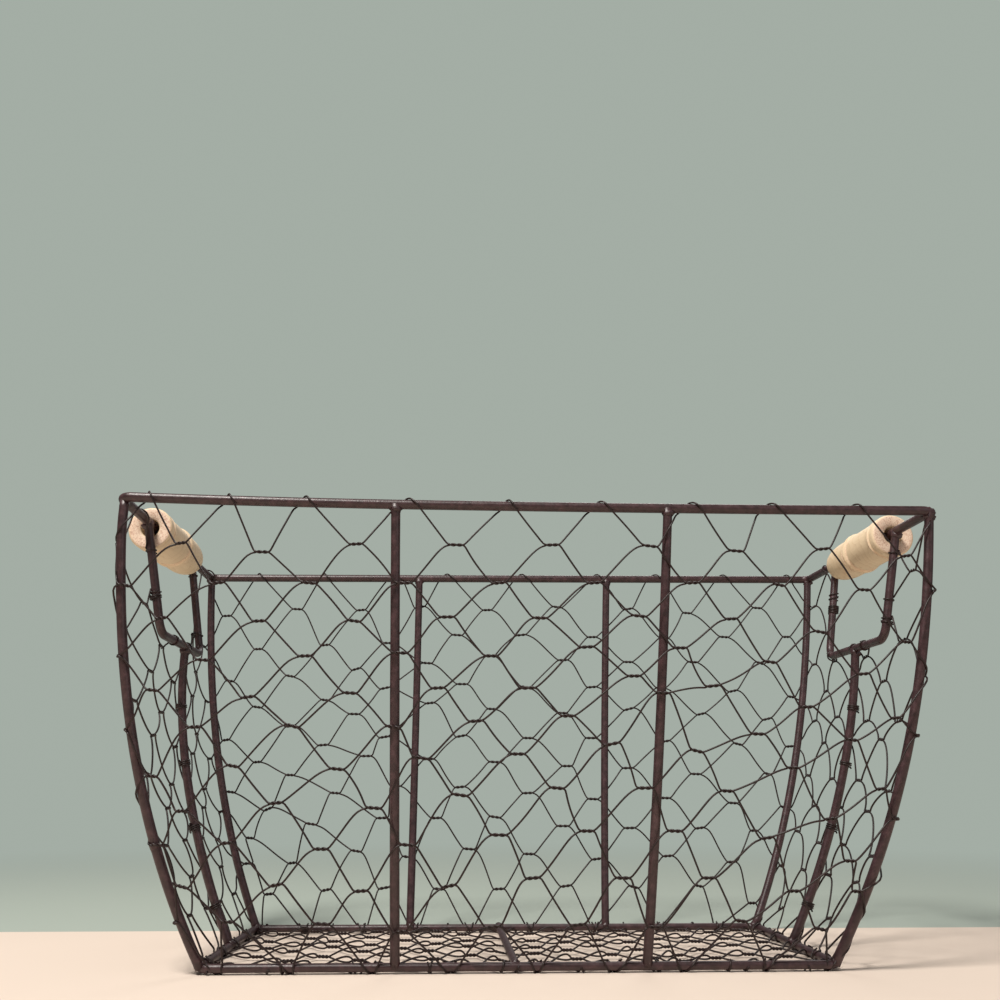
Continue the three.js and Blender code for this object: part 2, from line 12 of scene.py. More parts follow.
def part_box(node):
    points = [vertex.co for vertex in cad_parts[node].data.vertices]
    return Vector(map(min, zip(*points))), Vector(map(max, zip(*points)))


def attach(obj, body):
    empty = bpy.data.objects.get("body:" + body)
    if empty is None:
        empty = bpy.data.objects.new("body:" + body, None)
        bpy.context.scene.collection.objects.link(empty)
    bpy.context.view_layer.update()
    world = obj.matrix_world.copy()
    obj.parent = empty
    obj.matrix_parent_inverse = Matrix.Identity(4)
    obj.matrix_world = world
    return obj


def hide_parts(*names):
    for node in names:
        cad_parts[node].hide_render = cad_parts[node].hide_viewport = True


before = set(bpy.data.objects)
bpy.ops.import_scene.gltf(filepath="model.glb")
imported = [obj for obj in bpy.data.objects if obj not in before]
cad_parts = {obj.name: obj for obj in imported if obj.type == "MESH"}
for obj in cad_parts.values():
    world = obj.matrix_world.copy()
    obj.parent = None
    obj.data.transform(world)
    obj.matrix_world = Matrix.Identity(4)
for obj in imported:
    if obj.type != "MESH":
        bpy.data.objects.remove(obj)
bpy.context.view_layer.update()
rng = np.random.default_rng(11)

# The frame's rods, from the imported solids.
RIM_ROD = 0.0024
UPRIGHT_ROD = 0.00225
HANDLE_ROD = 0.0022
BASE_ROD = 0.00195
CROSSBAR_ROD = 0.0019
ROD_SIDES = 20
ROD_SPACING = 0.004
ROD_UNEVENNESS = 0.02
rim_low, rim_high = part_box("top_rim")
foot_low, foot_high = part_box("base_rim")
bar_low, bar_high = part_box("base_crossbar")
RIM_HALF_LENGTH = rim_high.x - RIM_ROD
RIM_HALF_WIDTH = rim_high.y - RIM_ROD
FOOT_HALF_LENGTH = (foot_high.x - foot_low.x) / 2 - BASE_ROD
FOOT_HALF_WIDTH = foot_high.y - BASE_ROD
FOOT_SHIFT = (foot_high.x + foot_low.x) / 2
RIM_Z = (rim_high.z + rim_low.z) / 2
FOOT_Z = (foot_high.z + foot_low.z) / 2
CROSSBAR_SINK = 0.0005
CROSSBAR_Z = (bar_high.z + bar_low.z) / 2 - CROSSBAR_SINK
CROSSBAR_FRONT_X = -0.0075
CROSSBAR_BACK_X = -0.0105
HEIGHT = RIM_Z - FOOT_Z
RIM_BEND = 0.0055
FOOT_BEND = 0.0055
BEND_STEPS = 10
CORNER_INSET = 0.0011

# The top and foot of the long walls' uprights, left and right of the middle, by end.
WALL_UPRIGHTS = {-1: (0.067, 0.0575), 1: (0.0625, 0.057)}

# The left front corner upright bows out, and its top is tucked in under the rim's bend.
CORNER_BOW = {(-1, -1): 0.001}
CORNER_TUCK = {(-1, -1): 0.0007}
CORNER_DROP = {(-1, -1): 0.0009}
CORNER_COLLAR = {(-1, -1): 0.0023}
TUCK_SHARE = 0.1

# The walls' bow, and the small bends of a hand-made frame.
FOOT_SPREAD = 2.0
TOP_SPREAD = 0.32
RIM_WARP = 0.0012
FRONT_SAG = 0.0015
SAG_PEAK = -0.29

# Welds: the radius of each collar and how far it runs along its rod, and the beads.
TOP_COLLAR = 0.0029
TOP_COLLAR_RUN = 0.0055
FOOT_WELD = (0.0025, 0.003)
CROSSBAR_WELD = (0.0023, 0.004)
BRACKET_WELD = (0.0029, 0.006)
BEAD_RINGS = 8
BEAD_SEGMENTS = 12
BEAD_DROP = 0.0024
TOP_BEAD = (0.0030, 0.0027, 0.0024)
FOOT_BEAD = (0.0026, 0.0026, 0.0021)
FOOT_BEAD_RISE = 0.001
BRACKET_BEAD = (0.0031, 0.0034, 0.0022)
CROSSBAR_BEAD = (0.0027, 0.0022, 0.0019)
CROSSBAR_BEAD_INSET = 0.0016
CROSSBAR_BEAD_DROP = 0.0002
RIM_BEADS = {(1, -1): 0.0031, (-1, 1): 0.0029, (1, 1): 0.003}
RIM_BEAD_INSET = 0.0012
RIM_BEAD_DROP = 0.0006
RIM_BEAD_FLATNESS = 0.85

# Handles.
HANDLE_DROP = 0.058
HANDLE_LEAN = 0.011
LEG_HALF_SPACING = 0.044
HANDLE_TAPER = 0.004
HANDLE_BEND = 0.0072
HANDLE_SHIFT = {-1: -0.002, 1: -0.004}
UPRIGHT_SHIFT = {-1: 0.006, 1: -0.004}
BAR_HEIGHT = HEIGHT - HANDLE_DROP
BAR_X = RIM_HALF_LENGTH - HANDLE_LEAN

# Wall netting.
WIRE = 0.00046
WIRE_SIDES = 8
STRAND_OFFSET = 0.00047
WIRE_LIFT = UPRIGHT_ROD + WIRE
ROD_CLEARANCE = 0.0004
LONG_CELLS = 9.19
SHORT_CELLS = 3.81
ROUND_CELLS = 26
FIRST_TWIST = 0.818
TWIST_HALF_LENGTH = 0.0036
TWIST_TURN = 3 * math.pi
TWIST_STEPS = 18
SLANT_STEPS = 10
STRETCH = 0.12
ROWS = 11
FIRST_ROW_DROP = 0.021
LAST_ROW_RISE = 0.0189
RELIEF = 0.0011
CORNER_RUN = 0.002
CORNER_FADE = 0.012
CORNER_ROOM = 0.006
DRAW_IN_REACH = 0.016
HOOK_ROOM = 0.004

# The wires' hooks over the rim and under the base rim. Turns are in degrees.
RIM_HOOK_RADIUS = RIM_ROD + 1.6 * WIRE
RIM_HOOK_START = 248
RIM_HOOK_END = -28
RIM_HOOK_STEPS = 10
FOOT_HOOK_START = 62
FOOT_HOOK_END = -258
FOOT_HOOK_STEPS = 23
# How far the front wall's hooks over the rim lie off the middle between two twists, in cells.
RIM_HOOK_OFFSETS = {1: 0.05, 2: -0.07, 3: -0.01, 4: 0.02, 5: -0.03, 6: -0.04, 7: -0.12, 8: -0.13}

# Cut ends of wire, turned round a rod. Turns are in degrees.
WRAP_START = 40
WRAP_STEPS_PER_TURN = 14
LEG_WRAP_TURNS = (430, 620)
LEG_WRAP_ADVANCE = 0.0024
BAR_WRAP_ADVANCE = 0.0022
BAR_WRAP_ROOM = 0.0045
BASE_WRAP_TURNS = (150, 300)
BASE_WRAP_ADVANCE = 0.0018
HALVINGS = 18

# Base netting.
BASE_CELLS = 8.42
BASE_ROWS = 10.65
BASE_PATTERN_SHIFT = (0.007, -0.0034)
BASE_NET_GAP = 0.0001
BASE_NET_Z = CROSSBAR_Z - CROSSBAR_ROD - WIRE - BASE_NET_GAP
BASE_LOOSENESS = 0.0011
BASE_BUMP = 0.0021
BASE_DIP = 0.0011
BASE_PRESSED_REACH = 0.006
BASE_PITCH = 2 * FOOT_HALF_WIDTH / BASE_ROWS
BASE_CELL = 2 * FOOT_HALF_LENGTH / BASE_CELLS
BASE_ROW_COUNT = math.ceil(BASE_ROWS) + 4
BASE_SPARE_CELLS = 9
BASE_TWIST_HALF = 0.0026 / BASE_CELL
BASE_TWIST_STEPS = 14
BASE_SLANT_STEPS = 12

# Ties: places as shares of a side upright from its foot, or of a bracket's leg from its top. Their
# ends reach along the rod, outward and sideways.
TIE_HEAD = np.array([-0.0006, 0, -0.0012])
TIE_TAIL = np.array([0.0008, 0.001, -0.0016])
TIE_SHARES = (0.123, 0.377, 0.591, 0.786)
TIE_TURNS = {-1: (2.4, 3.2, 3.1, 2.3), 1: (3.2, 3.4, 2.4, 3.3)}
TIE_PITCH = 2.15 * WIRE
TIE_STEPS_PER_TURN = 16
# Each leg tie's name, side, leg, share and turns.
LEG_TIES = (
    ("right_far_leg_binding", 1, 1, 0.5, 4.6),
    ("left_near_leg_binding", -1, -1, 0.68, 2.2),
    ("right_near_leg_binding", 1, -1, 0.855, 1.3),
)
TIES_WITHOUT_NODE = ("right_near_leg_binding",)

# Turned grips.
GRIP_SEGMENTS = 96
GRIP_BORE = 0.0048
GROOVE_DEPTH = 0.0012

# The camera, matched to the photograph.
PHOTO_SIZE = 1000
SENSOR_WIDTH = 36
CAMERA_PLACE = (-0.0343, -0.551, 0.07785 + FOOT_Z)
CAMERA_YAW = -0.0397
CAMERA_PITCH = 0.2866
CAMERA_ROLL = -0.0006
CAMERA_LENS = 35.2
SETTLING_ROUNDS = 12

BODY = "basket"
SIDE_NAMES = {-1: "left", 1: "right"}
END_NAMES = {-1: "front", 1: "back"}
X_AXIS, Y_AXIS, Z_AXIS = np.eye(3)


# Shapes, as pairs of places and faces.
def unit(vector):
    return vector / np.linalg.norm(vector)


def carried_sides(path, closed):
    """Two directions across a path at each of its places, carried along it without twisting."""
    first, last = path[:1], path[-1:]
    padded = np.vstack([last, path, first] if closed else [first, path, last])
    along = padded[2:] - padded[:-2]
    along /= np.linalg.norm(along, axis=1)[:, None]
    starts_upright = abs(along[0][2]) >= 0.9
    side = Y_AXIS if starts_upright else Z_AXIS
    sides = []
    for direction in along:
        side = unit(side - direction * side.dot(direction))
        sides.append(side)
    return np.array(sides), np.cross(along, sides)


def shares(steps):
    """Even shares from 0 to 1."""
    return np.arange(steps + 1) / steps


def ring_faces(rings, sides, closed, flip=False):
    """Four-sided faces between each ring of places and the next."""
    faces = []
    for ring in range(rings if closed else rings - 1):
        here, there = ring * sides, (ring + 1) % rings * sides
        for corner in range(sides):
            following = (corner + 1) % sides
            face = (here + corner, here + following, there + following, there + corner)
            faces.append((face[0], face[3], face[2], face[1]) if flip else face)
    return faces


def tube(path, radii, sides=WIRE_SIDES, closed=False):
    """A round tube along a path, with flat ends unless it is closed."""
    path = np.asarray(path, float)
    radii = np.broadcast_to(np.asarray(radii, float), len(path))
    first, second = carried_sides(path, closed)
    angles = np.arange(sides) / sides * 2 * math.pi
    rings = (path[:, None]
             + first[:, None] * (np.cos(angles)[None, :, None] * radii[:, None, None])
             + second[:, None] * (np.sin(angles)[None, :, None] * radii[:, None, None]))
    faces = ring_faces(len(path), sides, closed)
    if not closed:
        last = (len(path) - 1) * sides
        faces.append(tuple(range(sides))[::-1])
        faces.append(tuple(last + corner for corner in range(sides)))
    return rings.reshape(-1, 3), faces


def blob(centre, size, rough):
    """A lumpy weld bead: a small ball, stretched to size and roughened."""
    ball = [(math.sin(tilt) * math.cos(turn), math.sin(tilt) * math.sin(turn), -math.cos(tilt))
            for tilt in math.pi * np.arange(1, BEAD_RINGS) / BEAD_RINGS
            for turn in 2 * math.pi * np.arange(BEAD_SEGMENTS) / BEAD_SEGMENTS]
    places = np.array([(0, 0, -1), *ball, (0, 0, 1)])
    lumps = 1 + rough * rng.uniform(-1, 1, len(places))
    places = places * lumps[:, None] * np.asarray(size) + np.asarray(centre)
    sides = ring_faces(BEAD_RINGS - 1, BEAD_SEGMENTS, False)
    faces = [tuple(1 + corner for corner in face) for face in sides]
    last = len(places) - 1
    top_ring = last - BEAD_SEGMENTS
    for segment in range(BEAD_SEGMENTS):
        following = (segment + 1) % BEAD_SEGMENTS
        faces.append((0, 1 + following, 1 + segment))
        faces.append((top_ring + segment, top_ring + following, last))
    return places, faces


def mix(low, high, share):
    """The value that lies a share of the way from low to high."""
    return low + (high - low) * share


def soften(path):
    """Rounds off the bends of a path a little, and leaves its ends where they are."""
    path = np.array(path, float)
    smooth = path.copy()
    smooth[1:-1] = (path[:-2] + 2 * path[1:-1] + path[2:]) / 4
    return smooth


def hand_bent(places):
    """Bends true places as the real frame is bent: the rim warps and its front rod sags."""
    places = np.array(places, float)
    share = np.clip((places[:, 2] - FOOT_Z) / HEIGHT, 0, 1)
    across = places[:, 0] / RIM_HALF_LENGTH
    depth = places[:, 1] / RIM_HALF_WIDTH
    places[:, 2] += RIM_WARP * share * across * depth
    from_peak = np.interp(across, (-1, SAG_PEAK, 1), (1, 0, 1))
    places[:, 2] -= FRONT_SAG * share ** 3 * (1 - from_peak ** 2) * np.clip(-depth, 0, 1)
    return places


def make_piece(name, shapes, material, nodes=(), body=BODY, bent=True):
    """A piece that joins shapes in one mesh, and hides the nodes that it stands for."""
    faces = []
    count = 0
    for shape_places, shape_faces in shapes:
        faces += [tuple(corner + count for corner in face) for face in shape_faces]
        count += len(shape_places)
    places = np.vstack([shape_places for shape_places, _ in shapes])
    if bent:
        places = hand_bent(places)
    mesh = bpy.data.meshes.new(name)
    mesh.from_pydata(places.tolist(), [], faces)
    mesh.shade_smooth()
    mesh.materials.append(material)
    piece = bpy.data.objects.new(name, mesh)
    bpy.context.scene.collection.objects.link(piece)
    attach(piece, body)
    if nodes:
        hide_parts(*nodes)
    return piece


# Where the walls and the frame lie. A share is one of the height, from the base rim to the rim.
def spread(share):
    """How far a wall has spread from the base rim's half size to the rim's. It bows outward."""
    square, cube = share ** 2, share ** 3
    return (FOOT_SPREAD * (cube - 2 * square + share) + (3 * square - 2 * cube)
            + TOP_SPREAD * (cube - square))


def half_length(share):
    return mix(FOOT_HALF_LENGTH, RIM_HALF_LENGTH, spread(share))


def half_width(share):
    return mix(FOOT_HALF_WIDTH, RIM_HALF_WIDTH, spread(share))


def shift(share):
    return FOOT_SHIFT * (1 - share)


def leg_spread(height):
    """How far a bracket's leg stands from the middle of its handle, at a height."""
    drop_share = min(1.0, max(0.0, (HEIGHT - height) / HANDLE_DROP))
    return LEG_HALF_SPACING - HANDLE_TAPER * drop_share


def bar_draw_in(side):
    """How far the top of a side upright is drawn in to meet the bracket's bar."""
    share = BAR_HEIGHT / HEIGHT
    return half_length(share) + side * shift(share) - BAR_X


def bracket_draw_in(side, y, height):
    """How far the netting of a short wall is drawn in to meet the bracket and the side upright."""
    if height >= BAR_HEIGHT:
        share = height / HEIGHT
        leg_x = RIM_HALF_LENGTH - HANDLE_LEAN * (HEIGHT - height) / HANDLE_DROP
        depth = half_length(share) + side * shift(share) - leg_x
    else:
        depth = bar_draw_in(side) * (height / BAR_HEIGHT) ** 4
    beyond = max(0.0, abs(y - HANDLE_SHIFT[side]) - leg_spread(height))
    return depth * math.exp(-(beyond / DRAW_IN_REACH) ** 2)


Wall = namedtuple("Wall", "name face_x face_y start cells")
WALLS = (
    Wall("front", 0, -1, 0.0, LONG_CELLS),
    Wall("right", 1, 0, LONG_CELLS, SHORT_CELLS),
    Wall("back", 0, 1, LONG_CELLS + SHORT_CELLS, LONG_CELLS),
    Wall("left", -1, 0, 2 * LONG_CELLS + SHORT_CELLS, SHORT_CELLS),
)


def wall_of(cell):
    cell %= ROUND_CELLS
    for wall in WALLS:
        if wall.start <= cell < wall.start + wall.cells:
            return wall
    return WALLS[0]


def wall_place(cell, height, lift):
    """A place on the wall netting. Cells run from the front left corner, seen from outside to
    the right; lift is the distance out from the surface that holds the uprights' axes."""
    wall = wall_of(cell)
    share = height / HEIGHT
    is_long = wall.face_x == 0
    half, depth = half_length(share), half_width(share)
    if not is_long:
        half, depth = depth, half
    reach = half - CORNER_INSET
    local = 2 * (cell % ROUND_CELLS - wall.start) / wall.cells - 1
    if is_long:
        local *= 1 + STRETCH * (1 - local ** 2)
    along = half * local
    room = half - abs(along)
    near_corner = CORNER_INSET * math.exp(-(room / CORNER_FADE) ** 2)
    out = depth + lift - near_corner
    if not is_long:
        out -= bracket_draw_in(wall.face_x, along * wall.face_x, height)
    direction = math.copysign(1, along)
    if lift <= 0:
        along = direction * min(abs(along), reach + lift)
    elif room < CORNER_RUN + CORNER_INSET:
        quarter = lift * math.pi / 4
        run = room / (CORNER_RUN + CORNER_INSET) * (CORNER_RUN + quarter)
        if run < quarter:
            angle = math.pi / 4 - run / lift
            along = direction * (reach + lift * math.sin(angle))
            out = depth - CORNER_INSET + lift * math.cos(angle)
        else:
            along = direction * (reach - (run - quarter))
    return np.array([
        shift(share) + out * wall.face_x - along * wall.face_y,
        out * wall.face_y + along * wall.face_x,
        FOOT_Z + height,
    ])


# Frame pieces.
def rounded_corners(corners, bend, closed):
    corners = [np.array(corner, float) for corner in corners]
    path = []
    for index, corner in enumerate(corners):
        if not closed and index in (0, len(corners) - 1):
            path.append(corner)
            continue
        back = unit(corners[index - 1] - corner)
        ahead = unit(corners[(index + 1) % len(corners)] - corner)
        opening = math.acos(float(back.dot(ahead)))
        centre = corner + unit(back + ahead) * bend / math.sin(opening / 2)
        start = corner + back * bend / math.tan(opening / 2) - centre
        end = corner + ahead * bend / math.tan(opening / 2) - centre
        turn = math.pi - opening
        for share in shares(BEND_STEPS):
            path.append(centre + start * math.sin((1 - share) * turn) / math.sin(turn)
                        + end * math.sin(share * turn) / math.sin(turn))
    return path


def fill_in(path, closed=False):
    """Adds places along the straight stretches of a path, so that it can bend and vary."""
    path = [np.asarray(place, float) for place in path]
    ends = path[1:] + path[:1] if closed else path[1:]
    full = []
    for start, end in zip(path, ends):
        count = max(1, round(float(np.linalg.norm(end - start)) / ROD_SPACING))
        full += [start + (end - start) * step / count for step in range(count)]
    if not closed:
        full.append(path[-1])
    return np.array(full)


def uneven(count, radius):
    """Radii that wander a little, as paint and rolled rod do."""
    waves = sum(np.sin(np.arange(count) * rate + rng.uniform(0, 6.3)) for rate in (0.11, 0.27, 0.61))
    return radius * (1 + ROD_UNEVENNESS * waves / 3)


def make_rod(name, node, path, radius, paint, swell=0.0, beads=(), closed=False):
    """A frame piece: a rod, uneven unless it is closed, with weld beads as places, sizes and
    roughness. swell is the least radius along the rod."""
    radii = np.maximum(uneven(len(path), radius), swell)
    if closed:
        radii[:] = radius
    shapes = [tube(path, radii, ROD_SIDES, closed)] + [blob(*bead) for bead in beads]
    make_piece(name, shapes, paint, [node])


def rectangle(half_x, half_y, centre_x, z, bend):
    corners = [(centre_x + x * half_x, y * half_y, z) for x, y in ((-1, -1), (1, -1), (1, 1), (-1, 1))]
    return fill_in(rounded_corners(corners, bend, True), closed=True)


def weld_swell(path, from_start, from_end, collar, run):
    """The least radius along a rod that is welded at its start, its end or both."""
    steps = np.concatenate([[0], np.cumsum(np.linalg.norm(np.diff(path, axis=0), axis=1))])
    near = np.minimum(steps if from_start else 1.0, steps[-1] - steps if from_end else 1.0)
    near = np.clip(near / run, 0, 1)
    return collar * (1 - near ** 1.5)


def make_rims(paint):
    beads = []
    for (x, y), size in RIM_BEADS.items():
        centre = (x * (RIM_HALF_LENGTH - RIM_BEAD_INSET), y * (RIM_HALF_WIDTH - RIM_BEAD_INSET),
                  RIM_Z - RIM_BEAD_DROP)
        beads.append((centre, (size, size, size * RIM_BEAD_FLATNESS), 0.22))
    path = rectangle(RIM_HALF_LENGTH, RIM_HALF_WIDTH, 0, RIM_Z, RIM_BEND)
    make_rod("rim_rod", "top_rim", path, RIM_ROD, paint, beads=beads, closed=True)
    path = rectangle(FOOT_HALF_LENGTH, FOOT_HALF_WIDTH, FOOT_SHIFT, FOOT_Z, FOOT_BEND)
    make_rod("foot_rod", "base_rim", path, BASE_ROD, paint, closed=True)


def make_crossbar(paint):
    ends = ((CROSSBAR_FRONT_X, -1), (CROSSBAR_BACK_X, 1))
    path = fill_in([(x, y * FOOT_HALF_WIDTH, CROSSBAR_Z) for x, y in ends])
    reach, z = FOOT_HALF_WIDTH - CROSSBAR_BEAD_INSET, CROSSBAR_Z - CROSSBAR_BEAD_DROP
    beads = [((x, y * reach, z), CROSSBAR_BEAD, 0.12) for x, y in ends]
    swell = weld_swell(path, True, True, *CROSSBAR_WELD)
    make_rod("foot_crossbar_rod", "base_crossbar", path, CROSSBAR_ROD, paint, swell, beads)


def make_upright(label, plan, top_height, paint, collar=TOP_COLLAR):
    """An upright whose plan gives its X and Y at a share of the height."""
    heights = np.linspace(0, top_height, round(top_height / ROD_SPACING) + 1)
    path = np.array([(*plan(height / HEIGHT), FOOT_Z + height) for height in heights])
    swell = np.maximum(weld_swell(path, False, True, collar, TOP_COLLAR_RUN),
                       weld_swell(path, True, False, *FOOT_WELD))
    beads = [(path[-1] - Z_AXIS * BEAD_DROP, np.array(TOP_BEAD) * (collar / TOP_COLLAR), 0.2),
             (path[0] + Z_AXIS * FOOT_BEAD_RISE, FOOT_BEAD, 0.2)]
    make_rod(f"{label}_rod", f"{label}_upright", path, UPRIGHT_ROD, paint, swell, beads)


def corner_plan(side, end):
    bow = CORNER_BOW.get((side, end), 0)
    tuck = CORNER_TUCK.get((side, end), 0)

    def plan(share):
        inset = CORNER_INSET + tuck * max(0, 1 - (1 - share) / TUCK_SHARE) ** 2
        along = half_length(share) - inset + bow * math.sin(math.pi * share) ** 0.6
        return side * along + shift(share), end * (half_width(share) - inset)
    return plan


def wall_plan(side, end):
    top, foot = WALL_UPRIGHTS[end]
    return lambda share: (side * mix(foot, top, share) + shift(share), end * half_width(share))


def side_plan(side):
    top_share = BAR_HEIGHT / HEIGHT
    draw_in = bar_draw_in(side)
    return lambda share: (side * (half_length(share) - draw_in * (share / top_share) ** 4) + shift(share),
                          UPRIGHT_SHIFT[side] * share / top_share)


def make_uprights(paint):
    for end, end_name in END_NAMES.items():
        for side, side_name in SIDE_NAMES.items():
            label = f"{end_name}_{side_name}"
            make_upright(f"{label}_corner", corner_plan(side, end), HEIGHT - CORNER_DROP.get((side, end), 0),
                         paint, CORNER_COLLAR.get((side, end), TOP_COLLAR))
            make_upright(f"{label}_wall", wall_plan(side, end), HEIGHT, paint)
    for side, side_name in SIDE_NAMES.items():
        make_upright(f"{side_name}_side", side_plan(side), BAR_HEIGHT, paint)


def bracket_corners(side):
    middle = HANDLE_SHIFT[side]
    top, bar = leg_spread(HEIGHT), leg_spread(BAR_HEIGHT)
    top_x, bar_x, bar_z = side * RIM_HALF_LENGTH, side * BAR_X, RIM_Z - HANDLE_DROP
    return [(top_x, middle - top, RIM_Z), (bar_x, middle - bar, bar_z),
            (bar_x, middle + bar, bar_z), (top_x, middle + top, RIM_Z)]


def make_brackets(paint):
    for side, side_name in SIDE_NAMES.items():
        path = fill_in(rounded_corners(bracket_corners(side), HANDLE_BEND, False))
        beads = [(end - Z_AXIS * BEAD_DROP, BRACKET_BEAD, 0.12) for end in (path[0], path[-1])]
        make_rod(f"{side_name}_bracket_rod", f"{side_name}_handle_bracket", path, HANDLE_ROD, paint,
                 weld_swell(path, True, True, *BRACKET_WELD), beads)


# Wall netting. Two strands cross in each twist and part again, so each strand runs down the
# wall on a slant, from a hook over the rim to a hook under the base rim.
def row_height(row):
    span = HEIGHT - FIRST_ROW_DROP - LAST_ROW_RISE
    return HEIGHT - FIRST_ROW_DROP - span * row / (ROWS - 1)


# Twists as they lie in the photograph, in pixels, as read off it. Each line is a row from the rim
# down. The front wall's twists are numbered from the left, and the back wall's from the right.
FRONT_TWISTS = (
    ((181, 543), (262, 552), (356, 544), (456, 545), (552, 545), (650, 546), (736, 551), (823, 549), (906, 556)),
    ((125, 585), (218, 583), (309, 583), (404, 583), (499, 583), (594, 583), (692, 583), (779, 585), (864, 590)),
    ((162, 618), (259, 621), (354, 621), (447, 617), (540, 618), (639, 616), (731, 619), (820, 632), (907, 642)),
    ((117, 655), (203, 660), (305, 656), (400, 653), (491, 656), (587, 647), (680, 648), (770, 662), (863, 674)),
    ((152, 690), (248, 697), (350, 693), (438, 688), (528, 688), (634, 676), (713, 686), (807, 707), (896, 718)),
    ((122, 728), (195, 727), (292, 726), (393, 727), (476, 721), (568, 716), (663, 693), (758, 734), (852, 740)),
    ((151, 776), (233, 766), (337, 769), (421, 758), (518, 754), (612, 744), (697, 751), (793, 768), (881, 789)),
    (None, (181, 811), (276, 803), (374, 808), (460, 795), (557, 788), (645, 788), (727, 791), (830, 819)),
    ((156, 845), (227, 843), (321, 849), (408, 845), (499, 835), (587, 831), (675, 831), (767, 838), (850, 861)),
    (None, (182, 887), (276, 885), (361, 891), (449, 886), (533, 878), (623, 878), (709, 878), (794, 891)),
    (None, (228, 922), (322, 924), (400, 932), (493, 927), (578, 925), (655, 927), (741, 921), (820, 929)),
)
BACK_TWISTS = (
    ((757, 608), (687, 613), (628, 609), (557, 607), (487, 610), None, (361, 610), (297, 609), (227, 616)),
    ((786, 637), (724, 637), (664, 638), (592, 637), (521, 635), (457, 635), (388, 643), (325, 645), (258, 649)),
    ((760, 663), (693, 662), (628, 662), (563, 660), (490, 656), (427, 663), (356, 669), (290, 676), (230, 681)),
    ((791, 697), (733, 691), None, (592, 687), (525, 687), (462, 684), (385, 688), (325, 700), (257, 707)),
    ((767, 719), (701, 714), (629, 709), (562, 713), (492, 709), (430, 703), (354, 714), (290, 726), (226, 740)),
    (None, (738, 744), None, (591, 738), (528, 738), (461, 736), (384, 737), (323, 745), (257, 762)),
    ((768, 774), (696, 774), (628, 768), (567, 766), (495, 762), None, (366, 756), (290, 775), (231, 792)),
    (None, (733, 803), (665, 798), (593, 799), (528, 793), (460, 787), None, (335, 793), (268, 809)),
    (None, (700, 828), (630, 828), (563, 826), (495, 817), (436, 818), (382, 818), (311, 824), (250, 838)),
    (None, (732, 862), (668, 856), (597, 859), (529, 854), (469, 849), (408, 857), (356, 851), (292, 863)),
    ((752, 903), (699, 886), (634, 887), (566, 886), (499, 889), None, (384, 888), (326, 890), (269, 894)),
)

# Each long wall's way out, the number of its first twist, and its rows of twists.
PHOTO_TWISTS = ((-1, 0, FRONT_TWISTS), (1, 13, BACK_TWISTS))


def camera_turn():
    return (Matrix.Rotation(CAMERA_YAW, 4, "Z") @ Matrix.Rotation(CAMERA_PITCH, 4, "X")
            @ Matrix.Rotation(CAMERA_ROLL, 4, "Y") @ Matrix.Rotation(math.pi / 2, 4, "X"))


def long_wall_place(pixel, face_y, lift):
    """The cell and height on a long wall that show at a pixel of the photograph."""
    middle = PHOTO_SIZE / 2
    view = Vector((pixel[0] - middle, middle - pixel[1], -CAMERA_LENS / SENSOR_WIDTH * PHOTO_SIZE))
    ray = camera_turn().to_3x3() @ view
    eye = Vector(CAMERA_PLACE)
    height = HEIGHT / 2
    for _ in range(SETTLING_ROUNDS):
        depth = face_y * (half_width(height / HEIGHT) + lift)
        seen = eye + ray * ((depth - eye.y) / ray.y)
        bend = hand_bent([(seen.x, seen.y, FOOT_Z + height)])[0][2] - FOOT_Z - height
        height = min(HEIGHT, max(0.0, seen.z - bend - FOOT_Z))
    share = height / HEIGHT
    along = -face_y * (seen.x - shift(share)) / half_length(share)
    local = along
    for _ in range(SETTLING_ROUNDS):
        local = along / (1 + STRETCH * (1 - local ** 2))
    wall = WALLS[0 if face_y < 0 else 2]
    return wall.start + (local + 1) / 2 * wall.cells, height


def even_cell(row, index):
    return FIRST_TWIST + index - 0.5 * (row % 2)


def read_drifts(row):
    """How far a row's twists that the photograph shows lie from even ones, in cells and height,
    and their indices."""
    indices, drifts = [], []
    for face_y, first_index, rows in PHOTO_TWISTS:
        for index, pixel in enumerate(rows[row], first_index):
            if pixel:
                cell, height = long_wall_place(pixel, face_y, WIRE_LIFT + STRAND_OFFSET)
                indices.append(index)
                drifts.append((cell - even_cell(row, index), height - row_height(row)))
    return indices, np.array(drifts)


Twist = namedtuple("Twist", "cell height tilt half_length lift")


def lay_out_twists():
    """Every twist of the wall netting. Those that weren't read drift as the read ones on either
    side do, and are moved a little at random."""
    twists = {}
    for row in range(ROWS):
        read, drifts = read_drifts(row)
        for index in range(ROUND_CELLS):
            cell_drift, height_drift = (np.interp(index, read, drift, period=ROUND_CELLS) for drift in drifts.T)
            jitter = 0 if index in read else 1
            twists[row, index] = Twist(
                even_cell(row, index) + cell_drift + rng.normal(0, 0.03) * jitter,
                row_height(row) + height_drift + rng.normal(0, 0.001) * jitter,
                rng.normal(0, 0.0004),
                TWIST_HALF_LENGTH * rng.uniform(0.9, 1.12),
                rng.uniform(0, 0.0005))
    return twists


def lay_out_hooks():
    """Each hook's half width and how far it lies off the middle between two twists, in cells."""
    hooks = {}
    for index in range(ROUND_CELLS):
        hooks["rim", index] = (rng.uniform(0.08, 0.14), RIM_HOOK_OFFSETS.get(index, rng.normal(0, 0.05)))
        hooks["foot", index] = (rng.uniform(0.1, 0.2), rng.normal(0, 0.03))
    return hooks


TWISTS = lay_out_twists()
HOOKS = lay_out_hooks()


def twist_at(row, index):
    twist = TWISTS[row, index % ROUND_CELLS]
    return twist._replace(cell=twist.cell + (index - index % ROUND_CELLS))


